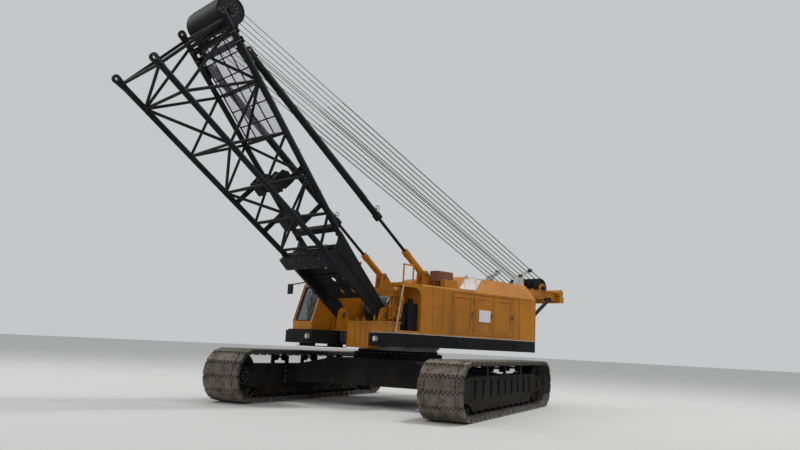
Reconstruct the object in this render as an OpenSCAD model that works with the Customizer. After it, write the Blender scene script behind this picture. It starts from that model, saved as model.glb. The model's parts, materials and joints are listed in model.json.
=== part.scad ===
// Crawler crane with only its lattice boom base fitted and no counterweight.
// X points to the front of the upper works, Y to its left and Z up.
// The origin is the slew centre on the ground. The tracks stand turned under the upper works.

/* [Tracks] */
// Length of a track over its shoes
track_len = 8100; // [7800:50:8400]
// Height of a track over its shoes
track_h = 1300; // [1280:10:1400]
// Width of a shoe
shoe_w = 1000; // [800:10:1200]
// Distance between the middles of the two tracks
gauge = 5540; // [5200:20:5800]
// Number of shoes on a track
shoe_n = 54; // [44:2:64]
// Depth of a shoe's pad below its link
pad_t = 45; // [30:5:60]
// Gap between two pads
pad_gap = 24; // [10:2:40]
// Thickness of the chain of links
link_t = 60; // [40:5:80]
// Height of a drive lug
lug_h = 60; // [40:5:70]
// Width of the row of drive lugs
lug_w = 150; // [100:10:180]
// Width over the rims of a track wheel or roller
wheel_w = 370; // [320:10:400]
// Radius of a lower roller
roller_r = 130; // [110:5:140]
// Number of lower rollers on a track
roller_n = 11; // [7:1:13]
// Radius of a carrier roller
carrier_r = 95; // [70:5:110]
// Angle of the tracks against the upper works
slew_rest = 23; // [0:1:45]

/* [Side frames and carbody] */
// Thickness of a side frame's plates
frame_plate = 40; // [25:5:50]
// Bottom of a side frame's beam
beam_z0 = 400; // [390:5:450]
// Top of a side frame's beam
beam_z1 = 930; // [800:10:960]
// Radius of the slewing ring
ring_r = 1080; // [950:10:1200]
// Top of the carbody
carbody_z1 = 1340; // [1320:5:1380]
// Bottom of the carbody
carbody_z0 = 520; // [450:10:600]
// Distance from the slew centre to a cross beam's middle
cross_x = 1350; // [1200:10:1500]
// Width of a cross beam
cross_w = 560; // [400:10:700]

/* [Upper works] */
// Bottom of the revolving frame
deck_z0 = 1530; // [1520:5:1560]
// Top of the revolving frame
deck_z1 = 1855; // [1820:5:1900]
// Width of the revolving frame and the two houses
deck_w = 3200; // [3100:20:3300]
// Rear end of the revolving frame
deck_rear = -3950; // [-4200:50:-3800]
// Front end of the left house
house_front = 1600; // [1500:20:1700]
// Width of a house
house_w = 960; // [900:10:1000]
// Top of a house's outer wall
house_z1 = 3060; // [2950:10:3150]
// Top of the raised part of the roof
crown_z = 3500; // [3400:10:3550]
// Foot of the slope in front of the raised part of the roof
crown_x = -610; // [-800:10:-500]
// Length of that slope
crown_run = 670; // [500:10:800]
// Thickness of a house's walls and doors
wall_t = 40; // [25:5:50]
// Gap round a house door
door_gap = 8; // [6:1:12]

/* [Cab] */
// Front of the cab at its floor
cab_front = 2200; // [2150:10:2300]
// Rear of the cab
cab_rear = 480; // [400:10:600]
// Outer side of the cab
cab_out = -1850; // [-1900:10:-1820]
// Side of the cab next to the boom
cab_in = -1010; // [-1040:5:-1000]
// Top of the cab
cab_z1 = 3110; // [3050:10:3200]
// Thickness of the cab's walls
cab_t = 45; // [35:5:50]

/* [Boom base] */
// Distance of the boom's foot pins ahead of the slew centre
foot_x = 1380; // [1360:5:1400]
// Height of the boom's foot pins
foot_z = 2310; // [2300:5:2340]
// Distance of a foot pin's middle from the centre plane
foot_half = 830; // [820:5:840]
// Distance of a chord's end from the centre plane
tip_half = 950; // [930:5:980]
// Length from the foot pins to the chord ends
boom_len = 8050; // [7950:10:8150]
// Angle of the boom above level
boom_rest = 43; // [35:1:50]
// Slope of each chord against the boom's centre line
chord_slope = 7.3; // [6.8:0.1:7.8]
// Radius of a chord
chord_r = 68; // [55:1:75]
// Radius of a lacing tube
lace_r = 36; // [25:1:38]
// Length of the plated legs
leg_len = 2350; // [2250:10:2450]
// Thickness of a plated leg
leg_t = 110; // [90:2:120]
// Radius of the foot pins
foot_pin_r = 60; // [45:1:70]
// Radius of the holes in the lugs at the chord ends
tip_hole_r = 36; // [25:1:45]

/* [Boom hoist and backstops] */
// Radius of the boom hoist sheaves
sheave_r = 300; // [280:5:340]
// Number of sheaves in a block
sheave_n = 6; // [4:1:6]
// Radius of the wire rope
rope_r = 13; // [9:1:14]
// Radius of a backstop's tube
stop_tube_r = 84; // [70:1:90]
// Radius of a backstop's rod
stop_rod_r = 40; // [30:1:45]
// Length of a backstop's tube
stop_tube_len = 5200; // [5000:50:5400]
// Distance of a backstop from the centre plane
stop_half = 830; // [820:5:840]

/* [Winches] */
// Radius of a drum's flange
flange_r = 400; // [350:5:420]
// Radius of the rope wound on a drum
wound_r = 300; // [260:5:330]

/* [Hidden] */

yellow = [0.80, 0.55, 0.08];
black = [0.09, 0.10, 0.11];
dust = [0.42, 0.40, 0.37];

// Clearances
seat = 0.3;
ring_gap = 0.5;
pin_gap = 0.1;
run = 8;

// Track shape
r_out = track_h / 2;
r_link = r_out - pad_t;
r_band = r_link - link_t;
half_run = (track_len - track_h) / 2;
loop_len = 4 * half_run + 2 * PI * r_link;
pitch = loop_len / shoe_n;

// Places that several pieces share
frame_half = wheel_w / 2 + 15 + frame_plate;
side_y = gauge / 2;
house_in = deck_w / 2 - house_w;
drum_w = 2 * (house_in - 150);
gantry_y = house_in - 40;
sheave_pitch = (2 * gantry_y - 200) / (sheave_n - 1);
low_z = house_z1 + 40;
lip_z = 2120;
cross_h = cross_w;
splay = atan((tip_half - foot_half) / (boom_len - leg_len));
rise = tan(chord_slope);

// Turns what it is given to stand under the tracks' own direction
module under() {
    rotate([0, 0, slew_rest]) children();
}

// A flat outline drawn in X and Z, given thickness t about the plane Y = y
module plate_y(y, t) {
    translate([0, y + t / 2, 0]) rotate([90, 0, 0]) linear_extrude(t) children();
}

// A round bar from p to q
module bar(p, q, r, fn = 24) {
    v = q - p;
    translate(p) rotate([0, acos(v.z / norm(v)), atan2(v.y, v.x)])
        cylinder(r = r, h = norm(v), $fn = fn);
}

// A block between two corners
module block(lo, hi) {
    translate(lo) cube(hi - lo);
}

// A cylinder along Y about [x, z], from y0 to y1
module roll(x, z, y0, y1, r, fn = 40) {
    translate([x, y1, z]) rotate([90, 0, 0]) cylinder(r = r, h = y1 - y0, $fn = fn);
}

// Point of the track's loop at distance s along it, moved out by off
function loop_pt(s, off) =
    let (a = 2 * half_run, b = PI * r_link, r = r_link + off)
    s < a ? [-half_run + s, r_out - r] :
    s < a + b ? let (t = -90 + (s - a) / b * 180) [half_run + r * cos(t), r_out + r * sin(t)] :
    s < 2 * a + b ? [half_run - (s - a - b), r_out + r] :
    let (t = 90 + (s - 2 * a - b) / b * 180) [-half_run + r * cos(t), r_out + r * sin(t)];

// Outline of the shoes: each pad stands out of the chain between two gaps
shoe_outline = [for (k = [0:shoe_n - 1]) let (s0 = k * pitch + pad_gap / 2, s1 = (k + 1)
    * pitch - pad_gap / 2)
    each [loop_pt(s0, 0), loop_pt(s0, pad_t), loop_pt(s1, pad_t), loop_pt(s1, 0)]];

// Inner outline of the row of drive lugs
lug_outline = [for (k = [0:shoe_n - 1]) let (s0 = (k + 0.3) * pitch, s1 = (k + 0.7) * pitch)
    each [loop_pt(s0, -link_t + 2), loop_pt(s0 + 8, -link_t - lug_h), loop_pt(s1 - 8, -link_t - lug_h),
        loop_pt(s1, -link_t + 2)]];

// The space inside the chain, for a loop of radius r
module loop_core(r, w) {
    for (x = [-half_run, half_run]) roll(x, r_out, -w / 2, w / 2, r, 64);
    block([-half_run, -w / 2, r_out - r], [half_run, w / 2, r_out + r]);
}

module track() {
    difference() {
        plate_y(0, shoe_w) polygon(shoe_outline);
        loop_core(r_band, shoe_w + 10);
    }
    difference() {
        loop_core(r_band + 20, lug_w);
        plate_y(0, lug_w + 10) polygon(lug_outline);
    }
}

// A wheel with two rims and a groove for the lugs, on its own axle
module track_wheel(x, z, r, groove) {
    roll(x, z, -lug_w / 2 - 12, lug_w / 2 + 12, r - groove, 48);
    for (s = [-1, 1])
        roll(x, z, min(s * wheel_w / 2, s * (lug_w / 2 + 12)), max(s * wheel_w / 2,
            s * (lug_w / 2 + 12)), r, 48);
}

tumbler_r = r_band - seat;
roller_z = pad_t + link_t + roller_r + seat;
carrier_z = track_h - pad_t - link_t - carrier_r - seat;
roller_x = [for (i = [0:roller_n - 1]) (i / (roller_n - 1) - 0.5)
    * 2 * (half_run - tumbler_r - roller_r - 60)];
carrier_x = [-1500, 0, 1500];
beam_end = half_run - tumbler_r - 60;
axle_r = 85;

module track_wheels() {
    color(black) under() for (s = [-1, 1]) translate([0, s * side_y, 0]) {
        for (x = [-half_run, half_run]) {
            difference() {
                track_wheel(x, r_out, tumbler_r, lug_h + 8);
                roll(x, r_out, -wheel_w, wheel_w, axle_r + seat, 48);
                for (a = [0:60:300]) translate([x, 0, r_out]) rotate([0, a, 0])
                    roll(tumbler_r * 0.55, 0, -wheel_w, wheel_w, 85, 32);
            }
        }
    }
}

module rollers() {
    color(black) under() for (s = [-1, 1]) translate([0, s * side_y, 0]) {
        for (x = roller_x) {
            track_wheel(x, roller_z, roller_r, lug_h + 6);
            roll(x, roller_z, seat + frame_plate - frame_half, frame_half - frame_plate - seat, 40, 24);
        }
        for (x = carrier_x) {
            track_wheel(x, carrier_z, carrier_r, lug_h + 6);
            roll(x, carrier_z, seat + frame_plate - frame_half, frame_half - frame_plate - seat, 28, 24);
        }
    }
}

// Outline of a side frame's plate, with a fork round each track wheel's axle
module frame_outline() {
    z = r_out;
    difference() {
        union() {
            polygon([[-half_run, z - 210], [-beam_end, beam_z0 - 60], [-beam_end + 150, roller_z + 40],
                [-beam_end + 250, roller_z - 60], [beam_end - 250, roller_z - 60], [beam_end - 150,
                    roller_z + 40],
                [beam_end, beam_z0 - 60], [half_run, z - 210], [half_run, z + 210], [beam_end, beam_z1],
                [-beam_end, beam_z1], [-half_run, z + 210]]);
            for (x = [-half_run, half_run]) translate([x, z]) circle(r = 210, $fn = 48);
        }
        for (x = [-half_run, half_run]) translate([x, z]) circle(r = axle_r + seat, $fn = 48);
    }
}

module side_frames() {
    color(black) under() for (s = [-1, 1]) translate([0, s * side_y, 0]) {
        for (k = [-1, 1]) plate_y(k * (frame_half - frame_plate / 2), frame_plate) frame_outline();
        block([-beam_end, -frame_half + frame_plate / 2, beam_z0], [beam_end,
            frame_half - frame_plate / 2, beam_z1]);
        // Brackets of the carrier rollers
        for (x = carrier_x, k = [-1, 1])
            block([x - 70, k * (frame_half - 20) - 20, beam_z1 - 30], [x + 70, k * (frame_half - 20)
                + 20, carrier_z + 45]);
        // Pads that the carbody's cross beams bolt to
        for (x = [-cross_x, cross_x]) translate([0, -s * (frame_half + 15), 0])
            block([x - cross_w / 2 - 60, -45, beam_z0 + 20], [x + cross_w / 2 + 60, 45, beam_z1 - 20]);
    }
}

// Final drives on the inner side of the rear track wheels, and the plain caps of the front axles
module travel_drives() {
    color(black) under() for (s = [-1, 1]) translate([0, s * side_y, 0]) {
        y0 = frame_half + seat;
        for (x = [-half_run, half_run]) {
            roll(x, r_out, -frame_half - 30, frame_half + 30, axle_r, 48);
            for (k = [-1, 1]) roll(x, r_out, min(k * y0, k * (y0 + 40)), max(k * y0, k * (y0 + 40)),
                150, 48);
        }
        roll(-half_run, r_out, min(-s * y0, -s * (y0 + 230)), max(-s * y0, -s * (y0 + 230)), 300, 64);
        roll(-half_run, r_out, min(-s * (y0 + 220), -s * (y0 + 470)), max(-s * (y0 + 220),
            -s * (y0 + 470)), 150, 48);
    }
}

module track_left() {
    color(dust) under() translate([0, side_y, 0]) track();
}

module track_right() {
    color(dust) under() translate([0, -side_y, 0]) track();
}

beam_reach = side_y - frame_half - 60 - seat;

module carbody() {
    color(black) under() {
        difference() {
            union() {
                translate([0, 0, carbody_z0]) cylinder(r = ring_r + 120, h = carbody_z1 - carbody_z0,
                    $fn = 96);
                block([-cross_x - cross_w / 2, -1200, carbody_z0], [cross_x + cross_w / 2, 1200,
                    carbody_z1 - 160]);
            }
            translate([0, 0, carbody_z0 + 60]) cylinder(r = ring_r - 260, h = carbody_z1, $fn = 96);
        }
        for (x = [-cross_x, cross_x]) plate_x(x, cross_w) polygon([[-beam_reach, beam_z0 + 40],
            [-1500, carbody_z0], [1500, carbody_z0], [beam_reach, beam_z0 + 40], [beam_reach, beam_z1 - 40],
            [1100, carbody_z1 - 160], [-1100, carbody_z1 - 160], [-beam_reach, beam_z1 - 40]]);
        // Fixed race of the slewing ring
        difference() {
            translate([0, 0, carbody_z1 - 5]) cylinder(r = ring_r, h = 75, $fn = 96);
            translate([0, 0, carbody_z1 - 10]) cylinder(r = ring_r - 180, h = 100, $fn = 96);
        }
    }
}

// A flat outline drawn in Y and Z, given thickness t about the plane X = x
module plate_x(x, t) {
    translate([x - t / 2, 0, 0]) rotate([90, 0, 90]) linear_extrude(t) children();
}

race_z = carbody_z1 + 70;

module slew_ring() {
    color([0.35, 0.35, 0.36]) difference() {
        union() {
            translate([0, 0, race_z + ring_gap]) cylinder(r = ring_r - 15,
                h = deck_z0 - seat - race_z - ring_gap, $fn = 96);
            translate([0, 0, deck_z0 - seat - 40]) cylinder(r = ring_r + 40, h = 40, $fn = 96);
        }
        translate([0, 0, race_z - 10]) cylinder(r = ring_r - 180, h = 300, $fn = 96);
    }
}

pod_right_front = 2400;
pod_right_rear = 900;
front_right = -260;
deck_edge = 90;

module revolving_frame() {
    w = deck_w / 2;
    color(black) {
        // Side sills and the deck plate that they carry
        for (s = [-1, 1]) block([deck_rear, min(s * w, s * (w - deck_edge)), deck_z0],
            [s > 0 ? house_front : pod_right_rear, max(s * w, s * (w - deck_edge)), deck_z1 - 20]);
        block([deck_rear, -w, deck_z1 - 40], [pod_right_rear, w, deck_z1]);
        block([pod_right_rear - 10, 640, deck_z1 - 40], [house_front, w, deck_z1]);
        // Two main girders and the cross members between them
        for (s = [-1, 1]) block([deck_rear, s * 640 - 40, deck_z0], [house_front - 200, s * 640 + 40,
            deck_z1]);
        // Ears for the pins of a counterweight
        for (s = [-1, 1]) plate_y(s * 640, 80) difference() {
            union() {
                translate([deck_rear - 100, 1690]) circle(r = 110, $fn = 48);
                translate([deck_rear - 100, 1580]) square([200, 220]);
            }
            translate([deck_rear - 100, 1690]) circle(r = 45, $fn = 48);
        }
        for (x = [deck_rear, -2900, -1900, -1100, 300])
            block([x, -w + 20, deck_z0 + 30], [x + 60, w - 20, deck_z1 - 20]);
        // Plate that the slewing ring carries
        translate([0, 0, deck_z0]) cylinder(r = ring_r + 60, h = 60, $fn = 96);
        // Front pods, left of the boom and under the cab
        block([house_front - 640, 640, deck_z0 - 20], [house_front, w, deck_z1 - 35]);
        block([pod_right_rear, cab_out - 20, deck_z0 - 30], [pod_right_front, cab_in + 320, deck_z1 - 30]);
        block([cab_rear - 20, cab_out, deck_z1 - 70], [pod_right_front - 60, cab_in + 60, deck_z1]);
        // Closed box right of the yellow front frame
        block([ring_r + 90, -600, deck_z0], [house_front - 120, front_right - seat, deck_z1]);
        // Tread plate below the cab pod
        block([1250, cab_in - 500, deck_z0 - 110], [pod_right_front - 100, cab_in + 320, deck_z0 - 95]);
        for (x = [1300, pod_right_front - 180]) block([x, cab_in - 400, deck_z0 - 100], [x + 40,
            cab_in + 250, deck_z0 - 20]);
    }
}

clevis_gap = leg_t + 2 * run;
clevis_t = 50;

// Outline of an ear that carries a boom foot pin
module foot_ear() {
    difference() {
        union() {
            polygon([[foot_x - 370, deck_z1 + seat], [foot_x + 220, deck_z1 + seat], [foot_x + 165, foot_z],
                [foot_x - 165, foot_z]]);
            translate([foot_x, foot_z]) circle(r = 165, $fn = 48);
        }
        translate([foot_x, foot_z]) circle(r = foot_pin_r - 1, $fn = 48);
    }
}

module front_frame() {
    y = 600 - seat;
    x0 = ring_r + 110;
    ear_y = foot_half + clevis_gap / 2 + clevis_t;
    pod_y = deck_w / 2 - 120;
    color(yellow) {
        // Box between the two main girders
        difference() {
            block([x0, front_right, deck_z0 - 80], [house_front, y, lip_z - 20]);
            block([x0 + 50, front_right + 50, deck_z0 - 90], [house_front - 50, y - 50, lip_z - 70]);
        }
        // Foot plate under the ears, and the box on the left pod with its lip
        block([foot_x - 370, -ear_y, deck_z1 + seat], [house_front, ear_y, deck_z1 + 40]);
        block([house_front - 250, y - 20, deck_z1 + seat], [house_front, pod_y, lip_z - 20]);
        block([house_front - 270, front_right - 40, lip_z - 40], [house_front + 30, pod_y + 20, lip_z]);
        block([house_front - 10, front_right, deck_z0 - 80], [house_front + 25, y, deck_z0 - 40]);
        for (k = [0:2]) block([house_front - 5, 60 + k * 210, deck_z0 - 60], [house_front + 18,
            85 + k * 210, lip_z - 30]);
        for (s = [-1, 1]) {
            for (k = [-1, 1]) plate_y(s * foot_half + k * (clevis_gap + clevis_t) / 2, clevis_t) foot_ear();
            roll(foot_x, foot_z, s * foot_half - clevis_gap / 2 - clevis_t - 30,
                s * foot_half + clevis_gap / 2 + clevis_t + 30, foot_pin_r, 48);
        }
    }
}

// Front and rear edges of the three doors in each house's outer wall
//            front   rear
door_rows = [[-380, -1200],
             [-1230, -1990],
             [-2020, -2900]];
door_z0 = deck_z1 + 60;
door_z1 = house_z1 - 70;
hinge_r = 11;

// Outline of a house across its length, without and with the raised roof
module house_section(top, inset) {
    w = deck_w / 2;
    polygon([[house_in + inset, deck_z1 + inset + seat], [w - inset, deck_z1 + inset + seat],
        [w - inset, house_z1 - inset], [w - 420 + inset / 3, top - inset], [house_in + inset,
            top - inset]]);
}

// Outline of a house along its length, low in front and raised behind a slope, moved in by d
module house_profile(x1, d) {
    polygon([[deck_rear + d, deck_z1 - 10], [x1 - d, deck_z1 - 10], [x1 - d, low_z - d],
        [crown_x - d * 0.28, low_z - d],
        [crown_x - crown_run - d * 0.28, crown_z - d], [deck_rear + d, crown_z - d]]);
}

module house_solid(x1, d) {
    intersection() {
        plate_x((deck_rear + x1) / 2, x1 - deck_rear) house_section(crown_z, d);
        plate_y(deck_w / 2 - house_w / 2, house_w + 20) house_profile(x1, d);
    }
}

module door_holes() {
    w = deck_w / 2;
    for (d = door_rows) block([d[1] - door_gap, w - wall_t - 10, door_z0 - door_gap],
        [d[0] + door_gap, w + 10, door_z1 + door_gap]);
}

// Entry at the front of the left house: open in front, its side plate cut by a slanted strip
entry_x0 = 760;
entry_in = 1000;
low_front = 740;
entry_r = 240;
strip_lean = 210;
module entry() {
    w = deck_w / 2;
    z1 = house_z1 - 70;
    lean = strip_lean / (low_z - deck_z1);
    difference() {
        plate_y(w - wall_t / 2, wall_t) difference() {
            polygon([[low_front - wall_t, deck_z1 + seat], [house_front, deck_z1 + seat],
                [house_front - strip_lean, low_z - 45], [low_front - wall_t, low_z - 45]]);
            polygon([[entry_x0, deck_z1 + 60], [house_front - 45 - 60 * lean, deck_z1 + 60],
                [house_front - 45 - (z1 - deck_z1) * lean, z1], [entry_x0 + entry_r, z1], [entry_x0,
                    z1 - entry_r]]);
            translate([entry_x0 + entry_r, z1 - entry_r]) circle(r = entry_r, $fn = 64);
        }
        // Room for the box on the left pod
        block([house_front - 290, w - 120, lip_z - 60], [house_front + 60, w - 80, lip_z + 20]);
    }
    block([low_front - wall_t, entry_in, low_z - wall_t], [house_front - strip_lean, w - 45, low_z]);
    block([low_front - wall_t, entry_in, low_z - 80], [house_front - strip_lean, w, low_z - 45]);
    block([low_front - wall_t, entry_in, deck_z1 + seat], [950, entry_in + wall_t, low_z - 10]);
}

// The two stretches of a house, the front one lower and ending at x1
module house(x1) {
    difference() {
        house_solid(x1, 0);
        house_solid(x1, wall_t);
        door_holes();
    }
}

module house_left() {
    color(yellow) {
        house(low_front);
        entry();
        // Box on the low roof
        block([crown_x + 10, 1370, low_z - 20], [crown_x + 480, 1540, low_z + 210]);
    }
}

module house_right() {
    color(yellow) mirror([0, 1, 0]) house(cab_rear - 100);
}

// A door of the left house, hinged at its front edge
module house_door(d) {
    w = deck_w / 2;
    block([d[1], w - wall_t, door_z0], [d[0], w, door_z1]);
    difference() {
        block([d[1] + 60, w - 2, door_z0 + 60], [d[0] - 60, w + 8, door_z1 - 60]);
        block([d[1] + 110, w - 4, door_z0 + 110], [d[0] - 110, w + 20, door_z1 - 110]);
    }
    for (z = [door_z0 + 120, door_z1 - 200]) {
        translate([d[0] + 6, w + hinge_r + seat, z]) cylinder(r = hinge_r, h = 80, $fn = 24);
        block([d[0] - 50, w - 2, z + 5], [d[0] + 2, w + 6, z + 75]);
    }
    // Latch
    roll(d[1] + 60, (door_z0 + door_z1) / 2, w - 2, w + 18, 32, 32);
}

module door_l1() { color(yellow) house_door(door_rows[0]); }
module door_l2() { color(yellow) house_door(door_rows[1]); }
module door_l3() { color(yellow) house_door(door_rows[2]); }
module door_r1() { color(yellow) mirror([0, 1, 0]) house_door(door_rows[0]); }
module door_r2() { color(yellow) mirror([0, 1, 0]) house_door(door_rows[1]); }
module door_r3() { color(yellow) mirror([0, 1, 0]) house_door(door_rows[2]); }

// Wall with slats between the two houses at the rear
module rear_grille() {
    x = deck_rear + 20;
    color(yellow) {
        difference() {
            block([x, -house_in + seat, deck_z1 + seat], [x + 80, house_in - seat, 3150]);
            block([x - 10, -house_in + 100, deck_z1 + 150], [x + 100, house_in - 100, 3050]);
        }
        for (k = [0:7]) block([x + 10, -house_in + 90, deck_z1 + 230 + k * 115],
            [x + 60, house_in - 90, deck_z1 + 255 + k * 115]);
    }
}

module engine() {
    color([0.30, 0.32, 0.33]) block([-3600, house_in + wall_t + 40, deck_z1 + wall_t + 2 * seat],
        [-1700, deck_w / 2 - wall_t - 60, 2800]);
}

// Rusty cowl over the exhaust, on the low roof of the left house
module muffler() {
    color([0.38, 0.20, 0.14]) {
        difference() {
            block([-650, 1040, low_z + 160], [-60, 1330, low_z + 440]);
            block([-660, 1060, low_z + 150], [-120, 1310, low_z + 400]);
        }
        roll_x(-400, -100, 1185, low_z + 280, 95);
        translate([-230, 1185, low_z + seat]) cylinder(r = 75, h = 300, $fn = 40);
        for (x = [-600, -110], y = [1045, 1300]) block([x, y, low_z + seat], [x + 30, y + 25, low_z + 180]);
    }
}

// A cylinder along X about [y, z], from x0 to x1
module roll_x(x0, x1, y, z, r, fn = 40) {
    translate([x0, y, z]) rotate([0, 90, 0]) cylinder(r = r, h = x1 - x0, $fn = fn);
}

// Outline of the cab in X and Z, moved in by d all round
cab_slope = 330;
module cab_section(d) {
    z0 = deck_z1 + seat;
    polygon([[cab_rear + d, z0 + d], [cab_front - d, z0 + d], [cab_front - d, z0 + 200],
        [cab_front - cab_slope - d, cab_z1 - d], [cab_rear + d, cab_z1 - d]]);
}

cab_mid = (cab_out + cab_in) / 2;
cab_w = cab_in - cab_out;
sill_z = deck_z1 + 230;
head_z = cab_z1 - 110;

door_x0 = 640;
door_x1 = 1560;

module cab() {
    color(yellow) {
        // Rail of the sliding door
        block([cab_rear + 20, cab_out - 30, head_z + 58], [1870, cab_out + 1, head_z + 72]);
    difference() {
        plate_y(cab_mid, cab_w) cab_section(0);
        plate_y(cab_mid, cab_w - 2 * cab_t) cab_section(cab_t);
        // Windscreen
        block([cab_front - cab_slope - 200, cab_out + 90, sill_z], [cab_front + 50, cab_in - 90, head_z]);
        // Front window and door hole in the outer side
        plate_y(cab_out, 3 * cab_t) polygon([[door_x1 + 70, sill_z], [cab_front - 130, sill_z],
            [cab_front - cab_slope - 60, head_z], [door_x1 + 70, head_z]]);
        block([door_x0, cab_out - 10, deck_z1 + 70], [door_x1, cab_out + cab_t + 10, head_z]);
        // Rear window
        block([cab_rear - 10, cab_out + 130, 2500], [cab_rear + cab_t + 10, cab_in - 130, head_z]);
    }
    }
}

glass_t = 8;

module cab_glass() {
    color([0.25, 0.32, 0.35, 0.5]) {
        // Windscreen, lying in the slope of the front wall
        dx = cab_front - cab_slope;
        z0 = deck_z1 + 200 + seat;
        f = (cab_z1 - z0) / cab_slope;
        plate_y(cab_mid, cab_w - 180 - 2 * seat) polygon([
            [cab_front - (sill_z - z0) / f - 26, sill_z + seat], [cab_front - (sill_z - z0)
                / f - 26 + glass_t, sill_z + seat],
            [cab_front - (head_z - z0) / f - 26 + glass_t, head_z - seat], [cab_front - (head_z - z0)
                / f - 26, head_z - seat]]);
        plate_y(cab_out + cab_t / 2, glass_t) polygon([[door_x1 + 70 + seat, sill_z + seat],
            [cab_front - 130 - 3 * seat, sill_z + seat], [cab_front - cab_slope - 60 - 3 * seat,
                head_z - seat],
            [door_x1 + 70 + seat, head_z - seat]]);
        block([cab_rear + 18, cab_out + 130 + seat, 2500 + seat], [cab_rear + 18 + glass_t,
            cab_in - 130 - seat, head_z - seat]);
    }
}

module cab_interior() {
    color([0.15, 0.15, 0.16]) {
        z0 = deck_z1 + cab_t + 2 * seat;
        // Seat with its base and back
        block([900, cab_mid - 150, z0], [1250, cab_mid + 150, z0 + 330]);
        block([850, cab_mid - 240, z0 + 320], [1370, cab_mid + 240, z0 + 450]);
        block([760, cab_mid - 230, z0 + 330], [870, cab_mid + 230, z0 + 1020]);
        // Control stand beside the seat
        for (s = [-1, 1]) block([1100, cab_mid + s * 310 - 60, z0], [1500, cab_mid + s * 310 + 60,
            z0 + 560]);
        block([1780, cab_mid - 200, z0], [1900, cab_mid + 200, z0 + 620]);
    }
}

slide_gap = 6;

module cab_door() {
    y1 = cab_out - slide_gap;
    color(yellow) {
        difference() {
            block([door_x0 - 40, y1 - 40, deck_z1 + 30], [door_x1 + 40, y1, head_z + 40]);
            block([door_x0 + 60, y1 - 60, 2250], [door_x1 - 60, y1 + 20, head_z - 40]);
        }
        block([door_x1 - 60, y1 - 75, 2080], [door_x1 - 30, y1 - 35, 2230]);
        // Hanger that rides on the rail
        block([1260, y1 - 40, head_z + 30], [door_x1, y1 - 26, head_z + 86]);
        block([1260, y1 - 40, head_z + 72 + seat], [door_x1, y1, head_z + 86]);
    }
}

module cab_door_glass() {
    y1 = cab_out - slide_gap;
    color([0.25, 0.32, 0.35, 0.5]) block([door_x0 + 60 + seat, y1 - 24, 2250 + seat],
        [door_x1 - 60 - seat, y1 - 24 + glass_t, head_z - 40 - seat]);
}

module side_mirror() {
    color(black) {
        x = cab_front - cab_slope;
        block([x - 120, cab_out + 20, cab_z1 + seat], [x - 30, cab_out + 100, cab_z1 + 80]);
        bar([x - 80, cab_out + 60, cab_z1 + 60], [x + 530, cab_out + 40, cab_z1 - 80], 16);
        block([x + 500, cab_out - 60, cab_z1 - 330], [x + 545, cab_out + 140, cab_z1 - 60]);
    }
}

rail_r = 21;
lamp_x = 930;
lamp_z = 3660;

module handrail() {
    color(yellow) {
        y = deck_w / 2 - 60;
        z0 = low_z + seat;
        z1 = z0 + 450;
        posts = [1000, house_front - strip_lean - 60];
        for (x = posts) translate([x, y - 30, z0]) cylinder(r = rail_r, h = z1 - z0, $fn = 24);
        bar([posts[0] - rail_r, y - 30, z1], [posts[1] + rail_r, y - 30, z1], rail_r);
        for (x = posts) translate([x, y - 30, z0]) cylinder(r = 50, h = 12, $fn = 24);
        // Slanted post of the warning lamp
        block([330, -720, z0], [470, -650, z0 + 14]);
        bar([400, -685, z0], [lamp_x, -685, lamp_z], rail_r);
        translate([lamp_x, -685, lamp_z - 40]) cylinder(r = rail_r, h = 40 + rail_r, $fn = 24);
    }
}

module lamps() {
    color([0.85, 0.85, 0.80]) {
        roll_x(house_front + seat, house_front + 60, 900, 1690, 75);
        roll_x(pod_right_front + seat, pod_right_front + 60, cab_in + 150, 1680, 75);
    }
}

// Red lamp at the top of its post
module warning_lamp() {
    color([0.75, 0.12, 0.15]) translate([lamp_x, -685, lamp_z + rail_r + seat]) cylinder(r = 42,
        h = 75, $fn = 32);
}

// Bare metal plate on the slope of the left roof
module roof_panel() {
    a = atan2(crown_z - house_z1, -420);
    x0 = crown_x - 50;
    color([0.62, 0.55, 0.50]) translate([0, deck_w / 2, house_z1]) rotate([a, 0, 0]) translate([0, 0,
        -10 - seat])
        linear_extrude(10) polygon([[x0, 60], [x0 - 650, 60], [x0 - 650 - 0.95 * crown_run, 570],
            [x0 - 0.95 * crown_run, 570]]);
}

// Oil tank inside the entry
module entry_tank() {
    color(black) {
        block([entry_x0 + 30, entry_in + 260, deck_z1 + seat], [entry_x0 + 330, entry_in + 490, 2600]);
        translate([entry_x0 + 180, entry_in + 380, 2590]) cylinder(r = 70, h = 130, $fn = 40);
        translate([entry_x0 + 80, entry_in + 310, 2590]) cylinder(r = 30, h = 60, $fn = 32);
    }
}

// Upright pipes of the hydraulic valves beside the left leg
//            x     y     r
pipe_rows = [[1020, 1035, 24],
             [1090, 1035, 24],
             [1160, 1035, 24],
             [1225, 1035, 30],
             [1295, 1035, 30],
             [1060, 1120, 20],
             [1270, 1120, 20]];
module pipe_rack() {
    z0 = deck_z1 + seat;
    color(yellow) {
        for (p = pipe_rows) translate([p[0], p[1], z0]) cylinder(r = p[2], h = 1080 - (p[0] - 1000)
            * 0.3, $fn = 24);
        // Manifolds across the pipes, and the valve block on them
        for (z = [z0 + 330, z0 + 620, z0 + 900]) block([990, 1000, z], [1345, 1150, z + 70]);
        block([1047, 1010, z0 + 380], [1272, 1190, z0 + 640]);
        for (x = [1080, 1150, 1220]) roll(x, z0 + 560, 1180, 1240, 28, 24);
        roll_x(1008, 1328, 1098, z0 + 1000, 44, 32);
        block([980, 1000, z0], [1320, 1150, z0 + 30]);
    }
}

drum_z = 2540;
//             x
drum_rows = [[520],
             [-760],
             [-2050]];
winch_y = drum_w / 2 + 40;

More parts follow.
